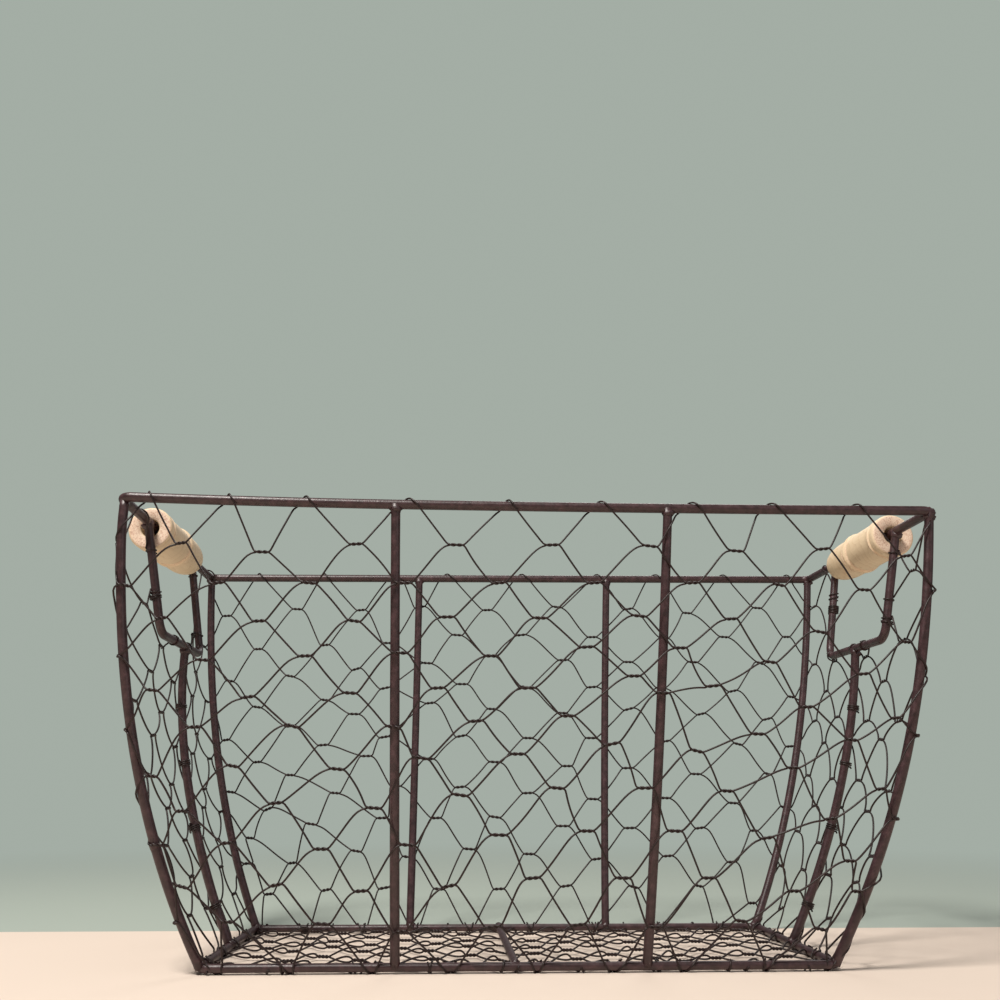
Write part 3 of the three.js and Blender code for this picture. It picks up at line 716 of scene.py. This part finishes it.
def is_in_handhold(cell, height):
    side = wall_of(cell).face_x
    if side == 0 or height < BAR_HEIGHT:
        return False
    y = wall_place(cell, height, WIRE_LIFT)[1]
    return abs(y - HANDLE_SHIFT[side]) < leg_spread(height)


def cell_length(cell, height):
    wall = wall_of(cell)
    reach = (half_length if wall.face_x == 0 else half_width)(height / HEIGHT)
    return 2 * reach / wall.cells


def twist_coil(way, steps):
    """A strand through a twist: how far along it, from -1 to 1, and how far up and out. way is 1
    for the strand that comes in above on the left and leaves below, and -1 for the other."""
    return [(2 * share - 1, way * STRAND_OFFSET * math.cos(TWIST_TURN * share),
             way * STRAND_OFFSET * math.sin(TWIST_TURN * share)) for share in shares(steps)]


def twist_run(twist, way):
    """A strand's places through a twist of the walls, from the rim down."""
    half = twist.half_length / cell_length(twist.cell, twist.height)
    run = [(twist.cell + half * along, twist.height + twist.tilt * along + up,
            WIRE_LIFT + STRAND_OFFSET + twist.lift + out)
           for along, up, out in twist_coil(way, TWIST_STEPS)]
    return run[::way]


def slant(start, end, way, is_free):
    """Places between two ends of a slanting wire. The free wires that run down to the left leave
    their twist almost level and bow out of the wall, and the others run straight and bow inward."""
    bow = rng.normal(0, 0.008), rng.normal(0, 0.0003), RELIEF * rng.uniform(0.6, 1.2)
    shoulder = 0.0 if way > 0 or not is_free else rng.uniform(0.55, 1.0)
    run = []
    for step in range(1, SLANT_STEPS):
        share = step / SLANT_STEPS
        swing = math.sin(math.pi * share) * (1.0 if is_free else 0.35)
        dropped = share - shoulder * share * (1 - share) ** 3
        run.append((
            mix(start[0], end[0], share) + bow[0] * swing,
            mix(start[1], end[1], dropped) + bow[1] * swing,
            mix(start[2], end[2], share) - way * bow[2] * swing ** 0.7,
        ))
    return run


def least_lift(cell, height):
    """How far out of the wall a wire has to lie to clear the rod that it passes, if any."""
    wall = wall_of(cell)
    local = cell % ROUND_CELLS
    room = min(local - wall.start, wall.start + wall.cells - local) * cell_length(cell, height)
    if room < CORNER_ROOM:
        return WIRE_LIFT
    share = height / HEIGHT
    x, y, _ = wall_place(cell, height, WIRE_LIFT)
    if wall.face_x == 0:
        top, foot = WALL_UPRIGHTS[wall.face_y]
        aside = abs(x - shift(share)) - mix(foot, top, share)
    elif height < BAR_HEIGHT:
        aside = y - UPRIGHT_SHIFT[wall.face_x] * height / BAR_HEIGHT
    else:
        aside = abs(y - HANDLE_SHIFT[wall.face_x]) - leg_spread(height)
    reach = WIRE_LIFT + ROD_CLEARANCE
    return math.sqrt(reach ** 2 - aside ** 2) if abs(aside) < reach else 0.0


def rim_hook(index, half):
    """The hook over the rim between twists index - 1 and index of the first row. half is 0 for
    the part that rises behind the rim and 1 for the part that comes down in front of it."""
    half_width_cells, off = HOOKS["rim", index % ROUND_CELLS]
    middle = (twist_at(0, index - 1).cell + twist_at(0, index).cell) / 2 + off
    places = []
    for share in np.linspace(0, 0.5, RIM_HOOK_STEPS) + 0.5 * half:
        turn = math.radians(mix(RIM_HOOK_START, RIM_HOOK_END, share))
        places.append((middle + half_width_cells * (2 * share - 1),
                       HEIGHT + RIM_HOOK_RADIUS * math.sin(turn), RIM_HOOK_RADIUS * math.cos(turn)))
    return places


def foot_hook(index, half):
    """The hook under the base rim between twists index and index + 1 of the last row."""
    half_width_cells, off = HOOKS["foot", index % ROUND_CELLS]
    middle = (twist_at(ROWS - 1, index).cell + twist_at(ROWS - 1, index + 1).cell) / 2 + off
    way = 1 if half == 0 else -1
    places = []
    for share in np.linspace(0, 1, FOOT_HOOK_STEPS):
        turn = math.radians(mix(FOOT_HOOK_START, FOOT_HOOK_END, share))
        radius = BASE_ROD + WIRE * (1.05 + 0.5 * share)
        cell = middle - way * half_width_cells * (0.8 - 1.3 * share)
        places.append((cell, radius * math.sin(turn), radius * math.cos(turn)))
    return places[::way]


def index_step(row, way):
    """How far a strand's index moves from a row of twists to the next."""
    moves = row % 2 == 0 if way > 0 else row % 2 == 1
    return way if moves else 0


def netting_strands():
    """Every strand as its way and its stretches from the rim down, each a list of places in
    cells, height and lift: a hook, a run through each twist, and a hook."""
    for way in (1, -1):
        for first in range(ROUND_CELLS):
            stretches = [rim_hook(first, 1) if way > 0 else rim_hook(first + 1, 0)[::-1]]
            index = first
            for row in range(ROWS):
                stretches.append(twist_run(twist_at(row, index), way))
                if row < ROWS - 1:
                    index += index_step(row, way)
            stretches.append(foot_hook(index, 0) if way > 0 else foot_hook(index - 1, 1)[::-1])
            yield way, stretches


def wrap(centre, axis, toward, outward, rod_radius, end, advance):
    """Turns of a cut wire's end round a rod. toward points to where the wire comes from."""
    count = max(3, round(abs(end - WRAP_START) / 360 * WRAP_STEPS_PER_TURN))
    radius = rod_radius + WIRE
    places = []
    for share in shares(count):
        turn = math.radians(mix(WRAP_START, end, share))
        places.append(centre + axis * advance * share
                      + radius * (math.cos(turn) * toward + math.sin(turn) * outward))
    return places


def leg_line(side, leg):
    """The top of a bracket's leg and the direction down it."""
    corners = [np.array(corner) for corner in bracket_corners(side)]
    top, foot = (corners[0], corners[1]) if leg < 0 else (corners[3], corners[2])
    return top, unit(foot - top)


def end_wrap(cell, height):
    """The turns with which a cut wire ends round the bracket's leg or bar."""
    side = wall_of(cell).face_x
    y = wall_place(cell, height, WIRE_LIFT)[1]
    outward = X_AXIS * side
    end = rng.uniform(*LEG_WRAP_TURNS)
    if height - BAR_HEIGHT < BAR_WRAP_ROOM:
        centre = np.array([side * BAR_X, y, RIM_Z - HANDLE_DROP])
        return wrap(centre, Y_AXIS, -Z_AXIS, outward, HANDLE_ROD, end, BAR_WRAP_ADVANCE)
    leg = math.copysign(1, y - HANDLE_SHIFT[side])
    top, down = leg_line(side, leg)
    centre = top + down * (HEIGHT - height) / -down[2]
    return wrap(centre, down, Y_AXIS * leg, outward, HANDLE_ROD, end, LEG_WRAP_ADVANCE)


def between(start, end, share):
    return [mix(low, high, share) for low, high in zip(start, end)]


def crossing(is_before):
    """The shares just before and just past the one where is_before turns false, by halving."""
    low, high = 0.0, 1.0
    for _ in range(HALVINGS):
        middle = (low + high) / 2
        low, high = (middle, high) if is_before(middle) else (low, middle)
    return low, high


def cut_point(inside, outside):
    """Where the straight line from a hidden place to a shown one leaves the handhold."""
    _, past = crossing(lambda share: is_in_handhold(*between(inside, outside, share)[:2]))
    return between(inside, outside, past)


def is_hidden(stretch):
    cell, height, _ = stretch[len(stretch) // 2]
    return is_in_handhold(cell, height)


def shown_runs(stretches, way):
    """Splits a strand where it meets a handhold. Yields lists of 3-D places with their walls' names."""
    run = []

    def put(places):
        for cell, height, lift in places:
            if HOOK_ROOM < height < HEIGHT - HOOK_ROOM:
                lift = max(lift, least_lift(cell, height))
            run.append((wall_place(cell, height, lift), wall_of(cell).name))

    for index, stretch in enumerate(stretches):
        hidden = is_hidden(stretch)
        if index:
            before = stretches[index - 1]
            was_hidden = is_hidden(before)
            if not hidden and not was_hidden:
                put(slant(before[-1], stretch[0], way, 1 < index < len(stretches) - 1))
            elif hidden != was_hidden:
                inner, outer = (stretch[0], before[-1]) if hidden else (before[-1], stretch[0])
                edge = cut_point(inner, outer)
                turns = [(place, wall_of(edge[0]).name) for place in end_wrap(edge[0], edge[1])]
                middle = [(a + b) / 2 for a, b in zip(outer, edge)]
                if hidden:
                    put([middle])
                    yield run + turns
                    run = []
                else:
                    run += turns[::-1]
                    put([middle])
        if not hidden:
            put(stretch)
    if run:
        yield run


def make_wall_netting(paint):
    shapes = {wall.name: [] for wall in WALLS}
    for way, stretches in netting_strands():
        for run in shown_runs(stretches, way):
            path = soften([place for place, _ in run])
            names = [name for _, name in run]
            start = 0
            for index in range(1, len(names) + 1):
                if index == len(names) or names[index] != names[start]:
                    stretch = path[start:index + 1]
                    if len(stretch) > 1:
                        shapes[names[start]].append(tube(stretch, WIRE))
                    start = index
    for name, wires in shapes.items():
        make_piece(f"{name}_wire_net", wires, paint, [f"{name}_netting"])


# Base netting: the same weave in a finer mesh, lying loose but for the crossbar that presses it
# down, with its cut ends turned round the base rods.
BASE_TWISTS = {}
for row in range(BASE_ROW_COUNT):
    for index in range(-2 * BASE_SPARE_CELLS, math.ceil(BASE_CELLS) + 2 * BASE_SPARE_CELLS):
        BASE_TWISTS[row, index] = (
            even_cell(row, index) + rng.normal(0, 0.035),
            ((BASE_ROW_COUNT - 1) / 2 - row) + rng.normal(0, 0.1),
            rng.normal(0, 0.0004),
            rng.uniform(-0.0004, 0.0006),
        )


def base_place(cell, row_share, lift, y_offset):
    """A place on the base netting, which the crossbar presses flat where it crosses."""
    x = FOOT_SHIFT + BASE_PATTERN_SHIFT[0] + (cell - BASE_CELLS / 2) * BASE_CELL
    y = BASE_PATTERN_SHIFT[1] + row_share * BASE_PITCH + y_offset
    bar_middle = (CROSSBAR_FRONT_X + CROSSBAR_BACK_X) / 2
    bar_x = bar_middle + (CROSSBAR_BACK_X - CROSSBAR_FRONT_X) * y / (2 * FOOT_HALF_WIDTH)
    freedom = 1 - math.exp(-((x - bar_x) / BASE_PRESSED_REACH) ** 2)
    rise = BASE_LOOSENESS + lift
    return np.array([x, y, BASE_NET_Z + (rise * freedom if rise > 0 else rise)])


def is_on_base(place, inset=0.0):
    return (abs(place[0] - FOOT_SHIFT) < FOOT_HALF_LENGTH - inset
            and abs(place[1]) < FOOT_HALF_WIDTH - inset)


def base_strand(first, way):
    """A strand of the base netting across all rows, as places. One way, the strands bow up as they
    leave a twist's left end, and the other way they dip before they reach one."""
    index = first
    places = []
    for row in range(BASE_ROW_COUNT):
        cell, height, tilt, lift = BASE_TWISTS[row, index]
        for along, up, out in twist_coil(way, BASE_TWIST_STEPS)[::way]:
            places.append(base_place(cell + BASE_TWIST_HALF * along, height, lift + out, tilt * along + up))
        if row + 1 < BASE_ROW_COUNT:
            index += index_step(row, way)
            following = BASE_TWISTS[row + 1, index]
            start = (cell + way * BASE_TWIST_HALF, height)
            end = (following[0] - way * BASE_TWIST_HALF, following[1])
            bow = rng.uniform(0.6, 1.15) * (BASE_BUMP if way < 0 else -BASE_DIP)
            level = rng.uniform(1.25, 1.7)
            for step in range(1, BASE_SLANT_STEPS):
                share = step / BASE_SLANT_STEPS
                near = share if way < 0 else 1 - share
                across = near ** level if way < 0 else 1 - near ** level
                places.append(base_place(
                    mix(start[0], end[0], share), mix(start[1], end[1], across),
                    mix(lift, following[3], share) + bow * math.sin(math.pi * near ** 0.6),
                    -way * STRAND_OFFSET * (1 - 2 * share)))
    return places


def base_end_wrap(inside, following):
    """The turns of a cut end round the base rod that it crosses, from its last place on the base
    and the one that follows it."""
    outside = following * 3 - inside * 2
    before, _ = crossing(lambda share: is_on_base(mix(inside, outside, share)))
    edge = mix(inside, outside, before)
    gap_x = FOOT_HALF_LENGTH - abs(edge[0] - FOOT_SHIFT)
    gap_y = FOOT_HALF_WIDTH - abs(edge[1])
    if gap_y < gap_x:
        toward, axis = Y_AXIS * -math.copysign(1, edge[1]), X_AXIS
    else:
        toward, axis = X_AXIS * -math.copysign(1, edge[0] - FOOT_SHIFT), Y_AXIS
    centre = np.array([edge[0], edge[1], FOOT_Z])
    return wrap(centre, axis, toward, -Z_AXIS, BASE_ROD, rng.uniform(*BASE_WRAP_TURNS),
                rng.choice([-1, 1]) * BASE_WRAP_ADVANCE)


def true_runs(flags):
    """The start and end of each run of true flags."""
    start = None
    for index, flag in enumerate([*flags, False]):
        if flag and start is None:
            start = index
        elif not flag and start is not None:
            yield start, index
            start = None


def make_base_netting(paint):
    wires = []
    for way in (1, -1):
        for first in range(-BASE_SPARE_CELLS, math.ceil(BASE_CELLS) + BASE_SPARE_CELLS):
            places = base_strand(first, way)
            for start, end in true_runs(is_on_base(place, BASE_ROD) for place in places):
                run = places[start:end]
                if len(run) > 3:
                    head = base_end_wrap(run[0], places[start - 1])[::-1] if start else []
                    tail = base_end_wrap(run[-1], places[end]) if end < len(places) else []
                    wires.append(tube(soften(head + run + tail), WIRE))
    make_piece("foot_wire_net", wires, paint, ["base_netting"])


# Ties round the side uprights and the brackets' legs.
def make_tie(name, centre, axis, side, turns, rod_radius, paint):
    """A tie of wire, wound round a rod from its outer side."""
    outward = unit(X_AXIS * side - axis * (X_AXIS * side).dot(axis))
    sideways = np.cross(axis, outward)
    places = []
    for share in shares(round(turns * TIE_STEPS_PER_TURN)):
        turn = 2 * math.pi * turns * share
        radius = rod_radius + WIRE * (1.15 + 0.1 * math.sin(5 * share))
        places.append(centre + axis * TIE_PITCH * turns * (share - 0.5)
                      + outward * (radius * math.cos(turn) + WIRE) + sideways * radius * math.sin(turn))
    ways = np.array([axis, outward, sideways])
    wire = tube([places[0] + TIE_HEAD @ ways, *places, places[-1] + TIE_TAIL @ ways], WIRE)
    nodes = [] if name in TIES_WITHOUT_NODE else [name.replace("binding", "tie")]
    make_piece(name, [wire], paint, nodes)


def make_ties(paint):
    for side, side_name in SIDE_NAMES.items():
        plan = side_plan(side)
        for number, share in enumerate(TIE_SHARES):
            height = share * BAR_HEIGHT
            low, here, high = (np.array((*plan((height + step) / HEIGHT), FOOT_Z + height + step))
                               for step in (-0.001, 0, 0.001))
            make_tie(f"{side_name}_upright_binding_{number + 1}", here, unit(high - low), side,
                     TIE_TURNS[side][number], UPRIGHT_ROD, paint)
    for name, side, leg, share, turns in LEG_TIES:
        top, down = leg_line(side, leg)
        make_tie(name, top + down * HANDLE_DROP * share / -down[2], down, side, turns, HANDLE_ROD, paint)


# Turned grips.
def arc(centre, radius, start, end, steps):
    angles = np.radians(np.linspace(start, end, steps))
    return [(centre[0] + radius[0] * math.cos(angle), centre[1] + radius[1] * math.sin(angle))
            for angle in angles]


def groove(start, width, radius):
    return [(radius - GROOVE_DEPTH * math.sin(math.pi * share) ** 0.8, start + width * share)
            for share in np.linspace(0, 1, 7)]


def grip_profile(length, radius):
    """The grip's outline as radius and distance from its front face, from bore to bore."""
    rounding, mouth = 0.0016, 0.0006
    collar, collar_groove = 0.0052, 0.0026
    body, body_start = radius - 0.0006, collar + 0.0036
    bead, bead_end, bead_groove, bead_swell = 0.039, 0.0448, 0.0019, 0.001
    nose_length, nose_radius, nose_flat = 0.022, 0.0066, 0.0006
    profile = [(GRIP_BORE, mouth), (GRIP_BORE + mouth, 0.0)]
    profile += arc((radius - rounding, rounding), (rounding, rounding), -90, 0, 8)
    profile += groove(collar, collar_groove, radius)
    profile += [(body, place) for place in np.linspace(body_start, bead - 0.0015, 8)]
    profile += groove(bead, bead_groove, body)
    profile += [(body + bead_swell * math.sin(math.pi * share) ** 0.6, mix(bead + bead_groove, bead_end, share))
                for share in np.linspace(0.12, 0.88, 7)]
    profile += groove(bead_end, bead_groove, body)
    nose_size = (body - nose_radius, nose_length - nose_flat)
    profile += arc((nose_radius, length - nose_length), nose_size, 0, 90, 14)
    profile += [(GRIP_BORE + 0.0008, length - 0.0002), (GRIP_BORE, length - 0.0012)]
    return profile


def make_grips(wood):
    angles = np.arange(GRIP_SEGMENTS) / GRIP_SEGMENTS * 2 * math.pi
    for side_name in SIDE_NAMES.values():
        node = f"{side_name}_wooden_grip"
        low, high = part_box(node)
        centre = (low + high) / 2
        profile = grip_profile(high.y - low.y, (high.z - low.z) / 2)
        places = [(centre.x + radius * math.cos(angle), low.y + along, centre.z + radius * math.sin(angle))
                  for radius, along in profile for angle in angles]
        shape = (places, ring_faces(len(profile), GRIP_SEGMENTS, True, flip=True))
        grip = make_piece(f"{side_name}_turned_grip", [shape], wood, [node],
                          f"{side_name}_grip", bent=False)
        grip.data.set_sharp_from_angle(angle=math.radians(50))


# Materials.
FRAME_PAINT = {
    "stops": ((0.3, (0.019, 0.0075, 0.0085)), (0.5, (0.039, 0.0165, 0.0185)), (0.72, (0.078, 0.037, 0.042))),
    "roughness": (0.28, 0.52),
    "grain": 0.35,
    "specular": 0.55,
}
WIRE_PAINT = {
    "stops": ((0.3, (0.009, 0.0036, 0.0033)), (0.6, (0.019, 0.0075, 0.0065)), (0.85, (0.038, 0.016, 0.013))),
    "roughness": (0.36, 0.55),
    "grain": 0.1,
    "specular": 0.4,
}


def set_inputs(tree, node, values):
    """Gives a node's input sockets their values, or links them to other nodes' sockets."""
    for name, value in values.items():
        if isinstance(value, bpy.types.NodeSocket):
            tree.links.new(value, node.inputs[name])
        else:
            node.inputs[name].default_value = value


def new_node(tree, kind, values=None):
    node = tree.nodes.new(kind)
    set_inputs(tree, node, values or {})
    return node


def new_material(name):
    material = bpy.data.materials.new(name)
    material.use_nodes = True
    tree = material.node_tree
    return material, tree, tree.nodes["Principled BSDF"]


def camera_ray(tree):
    return new_node(tree, "ShaderNodeLightPath").outputs["Is Camera Ray"]


def object_coordinates(tree):
    return new_node(tree, "ShaderNodeTexCoord").outputs["Object"]


def noise_node(tree, coordinates, scale, detail, roughness=0.5):
    return new_node(tree, "ShaderNodeTexNoise", {
        "Scale": scale, "Detail": detail, "Roughness": roughness, "Vector": coordinates}).outputs["Fac"]


def ramp_node(tree, factor, stops):
    ramp = new_node(tree, "ShaderNodeValToRGB", {"Fac": factor})
    elements = ramp.color_ramp.elements
    while len(elements) < len(stops):
        elements.new(0.5)
    for element, (position, colour) in zip(elements, stops):
        element.position = position
        element.color = (*colour, 1)
    return ramp.outputs["Color"]


def bump_node(tree, height, strength, distance):
    return new_node(tree, "ShaderNodeBump", {
        "Strength": strength, "Distance": distance, "Height": height}).outputs["Normal"]


def mix_node(tree, factor, first, second, blend="MIX"):
    node = tree.nodes.new("ShaderNodeMix")
    node.data_type = "RGBA"
    node.blend_type = blend
    set_inputs(tree, node, {"Factor": factor, "A": first, "B": second})
    return node.outputs["Result"]


def stretched(tree, coordinates, scale):
    return new_node(tree, "ShaderNodeMapping", {"Scale": scale, "Vector": coordinates}).outputs["Vector"]


def paint_material(name, stops, roughness, grain, specular):
    """Satin paint on steel, uneven in colour and gloss, with a grainy skin."""
    material, tree, shader = new_material(name)
    coordinates = object_coordinates(tree)
    patches = noise_node(tree, coordinates, 260, 6, 0.68)
    gloss = new_node(tree, "ShaderNodeMapRange", {
        "To Min": roughness[0], "To Max": roughness[1], "Value": noise_node(tree, coordinates, 420, 4, 0.6)})
    peel = noise_node(tree, coordinates, 1100, 4, 0.65)
    set_inputs(tree, shader, {
        "Base Color": ramp_node(tree, patches, stops),
        "Roughness": gloss.outputs["Result"],
        "Normal": bump_node(tree, peel, grain, 0.0003),
        "Specular IOR Level": specular,
    })
    return material


def growth_bands(tree, coordinates):
    """Wavy bands of growth, which lean across the grip."""
    leaning = new_node(tree, "ShaderNodeMapping", {
        "Rotation": (math.radians(7), math.radians(25), math.radians(58)),
        "Location": (0.011, 0, -0.185),
        "Vector": coordinates,
    })
    bands = new_node(tree, "ShaderNodeTexWave", {
        "Scale": 46, "Distortion": 13.0, "Detail": 3.0, "Detail Scale": 1.4,
        "Vector": leaning.outputs["Vector"],
    })
    bands.wave_type = "BANDS"
    bands.bands_direction = "X"
    bands.wave_profile = "SAW"
    return bands.outputs["Fac"]


def wood_material():
    """Pale turned wood: bands of growth, fine fibres along the grip, and porous cut ends."""
    material, tree, shader = new_material("pale_turned_wood")
    coordinates = object_coordinates(tree)
    growth = ramp_node(tree, growth_bands(tree, coordinates), [
        (0.0, (0.80, 0.645, 0.455)), (0.8, (0.775, 0.615, 0.425)), (1.0, (0.70, 0.53, 0.35))])
    patches = noise_node(tree, stretched(tree, coordinates, (1, 0.25, 1)), 40, 3)
    patch_tone = ramp_node(tree, patches, [(0.3, (0.95, 0.93, 0.9)), (0.7, (1, 1, 1))])
    colour = mix_node(tree, 1.0, growth, patch_tone, "MULTIPLY")
    fibres = noise_node(tree, stretched(tree, coordinates, (1, 0.05, 1)), 1500, 3, 0.7)
    fibre_tone = ramp_node(tree, fibres, [(0.3, (0.86, 0.82, 0.77)), (0.6, (1, 1, 1))])
    colour = mix_node(tree, 0.45, colour, mix_node(tree, 1.0, colour, fibre_tone, "MULTIPLY"))
    facing = new_node(tree, "ShaderNodeSeparateXYZ", {
        "Vector": new_node(tree, "ShaderNodeNewGeometry").outputs["Normal"]})
    cut_end = new_node(tree, "ShaderNodeMapRange", {
        "From Min": -0.75, "From Max": -0.97, "Value": facing.outputs["Y"]})
    pores = noise_node(tree, coordinates, 1300, 3, 0.7)
    cut_tone = ramp_node(tree, pores, [
        (0.36, (0.52, 0.33, 0.24)), (0.5, (0.76, 0.57, 0.44)), (0.64, (0.82, 0.67, 0.53))])
    set_inputs(tree, shader, {
        "Base Color": mix_node(tree, cut_end.outputs["Result"], colour, cut_tone),
        "Roughness": 0.6,
        "Specular IOR Level": 0.35,
        "Normal": bump_node(tree, fibres, 0.2, 0.0002),
    })
    return material


# Floor, light and camera.
FLOOR_Z = -0.0009
FLOOR_REACH = 6
MAT_REACH = 1.6
MAT_BACK_EDGE = 0.078
MAT_THICKNESS = 0.0006
FADE_NEAR = 0.3
FADE_FAR = 1.1
BACKDROP = (0.37, 0.42, 0.375)
MAT = (0.71, 0.60, 0.515)
FILL = (1.0, 0.97, 0.94)
FILL_STRENGTH = 0.17
LIGHT_TARGET = (0, 0, 0.1)
# Each light's name, place, size, power and colour.
LIGHTS = (
    ("key", (-0.6, -0.75, 1.55), 0.45, 38, (1.0, 0.96, 0.9)),
    ("fill", (1.3, -1.2, 0.9), 1.4, 4, (0.95, 0.97, 1.0)),
    ("back", (0.4, 1.3, 1.5), 1.0, 8, (1.0, 0.98, 0.95)),
)


def make_sheet(name, colour, reach, back_edge, z):
    """A flat matt sheet under the object."""
    material, tree, shader = new_material(name)
    set_inputs(tree, shader, {"Base Color": (*colour, 1), "Roughness": 0.85, "Specular IOR Level": 0.1})
    mesh = bpy.data.meshes.new(name)
    corners = [(-reach, -reach, z), (reach, -reach, z), (reach, back_edge, z), (-reach, back_edge, z)]
    mesh.from_pydata(corners, [], [(0, 1, 2, 3)])
    mesh.materials.append(material)
    sheet = bpy.data.objects.new(name, mesh)
    bpy.context.scene.collection.objects.link(sheet)
    return material


def fade_to_backdrop(material, near, far):
    """Lets a sheet fade into the colour of the backdrop, by its distance from the object."""
    tree = material.node_tree
    distance = new_node(tree, "ShaderNodeVectorMath", {0: object_coordinates(tree)})
    distance.operation = "LENGTH"
    share = new_node(tree, "ShaderNodeMapRange", {
        "From Min": near, "From Max": far, "Value": distance.outputs["Value"]})
    share.interpolation_type = "SMOOTHSTEP"
    seen = new_node(tree, "ShaderNodeMath", {0: share.outputs["Result"], 1: camera_ray(tree)})
    seen.operation = "MULTIPLY"
    flat = new_node(tree, "ShaderNodeEmission", {"Color": (*BACKDROP, 1)})
    mixed = new_node(tree, "ShaderNodeMixShader", {
        "Fac": seen.outputs["Value"], 1: tree.nodes["Principled BSDF"].outputs["BSDF"],
        2: flat.outputs["Emission"]})
    set_inputs(tree, tree.nodes["Material Output"], {"Surface": mixed.outputs["Shader"]})


def make_floor():
    floor = make_sheet("floor", BACKDROP, FLOOR_REACH, FLOOR_REACH, FLOOR_Z - MAT_THICKNESS)
    fade_to_backdrop(floor, FADE_NEAR, FADE_FAR)
    make_sheet("mat", MAT, MAT_REACH, MAT_BACK_EDGE, FLOOR_Z)


def make_world():
    """A backdrop that the camera sees, and a weak even light on the object."""
    world = bpy.data.worlds.new("studio")
    bpy.context.scene.world = world
    world.use_nodes = True
    tree = world.node_tree
    tree.nodes.clear()
    seen = new_node(tree, "ShaderNodeBackground", {"Color": (*BACKDROP, 1)})
    fill = new_node(tree, "ShaderNodeBackground", {"Color": (*FILL, 1), "Strength": FILL_STRENGTH})
    choose = new_node(tree, "ShaderNodeMixShader", {
        "Fac": camera_ray(tree), 1: fill.outputs["Background"], 2: seen.outputs["Background"]})
    new_node(tree, "ShaderNodeOutputWorld", {"Surface": choose.outputs["Shader"]})


def add_light(name, place, size, power, colour):
    data = bpy.data.lights.new(name, "AREA")
    data.shape = "DISK"
    data.size = size
    data.energy = power
    data.color = colour
    light = bpy.data.objects.new(name, data)
    light.location = place
    light.rotation_euler = (Vector(LIGHT_TARGET) - Vector(place)).to_track_quat("-Z", "Y").to_euler()
    bpy.context.scene.collection.objects.link(light)


def make_camera():
    data = bpy.data.cameras.new("camera")
    data.sensor_width = SENSOR_WIDTH
    data.lens = CAMERA_LENS
    camera = bpy.data.objects.new("camera", data)
    camera.matrix_world = Matrix.Translation(CAMERA_PLACE) @ camera_turn()
    bpy.context.scene.collection.objects.link(camera)
    bpy.context.scene.camera = camera


def main():
    frame_paint = paint_material("frame_paint", **FRAME_PAINT)
    wire_paint = paint_material("wire_paint", **WIRE_PAINT)
    wood = wood_material()
    make_rims(frame_paint)
    make_crossbar(frame_paint)
    make_uprights(frame_paint)
    make_brackets(frame_paint)
    make_wall_netting(wire_paint)
    make_base_netting(wire_paint)
    make_ties(wire_paint)
    make_grips(wood)
    make_floor()
    make_world()
    for light in LIGHTS:
        add_light(*light)
    make_camera()
    bpy.context.scene.view_settings.view_transform = "Standard"


main()
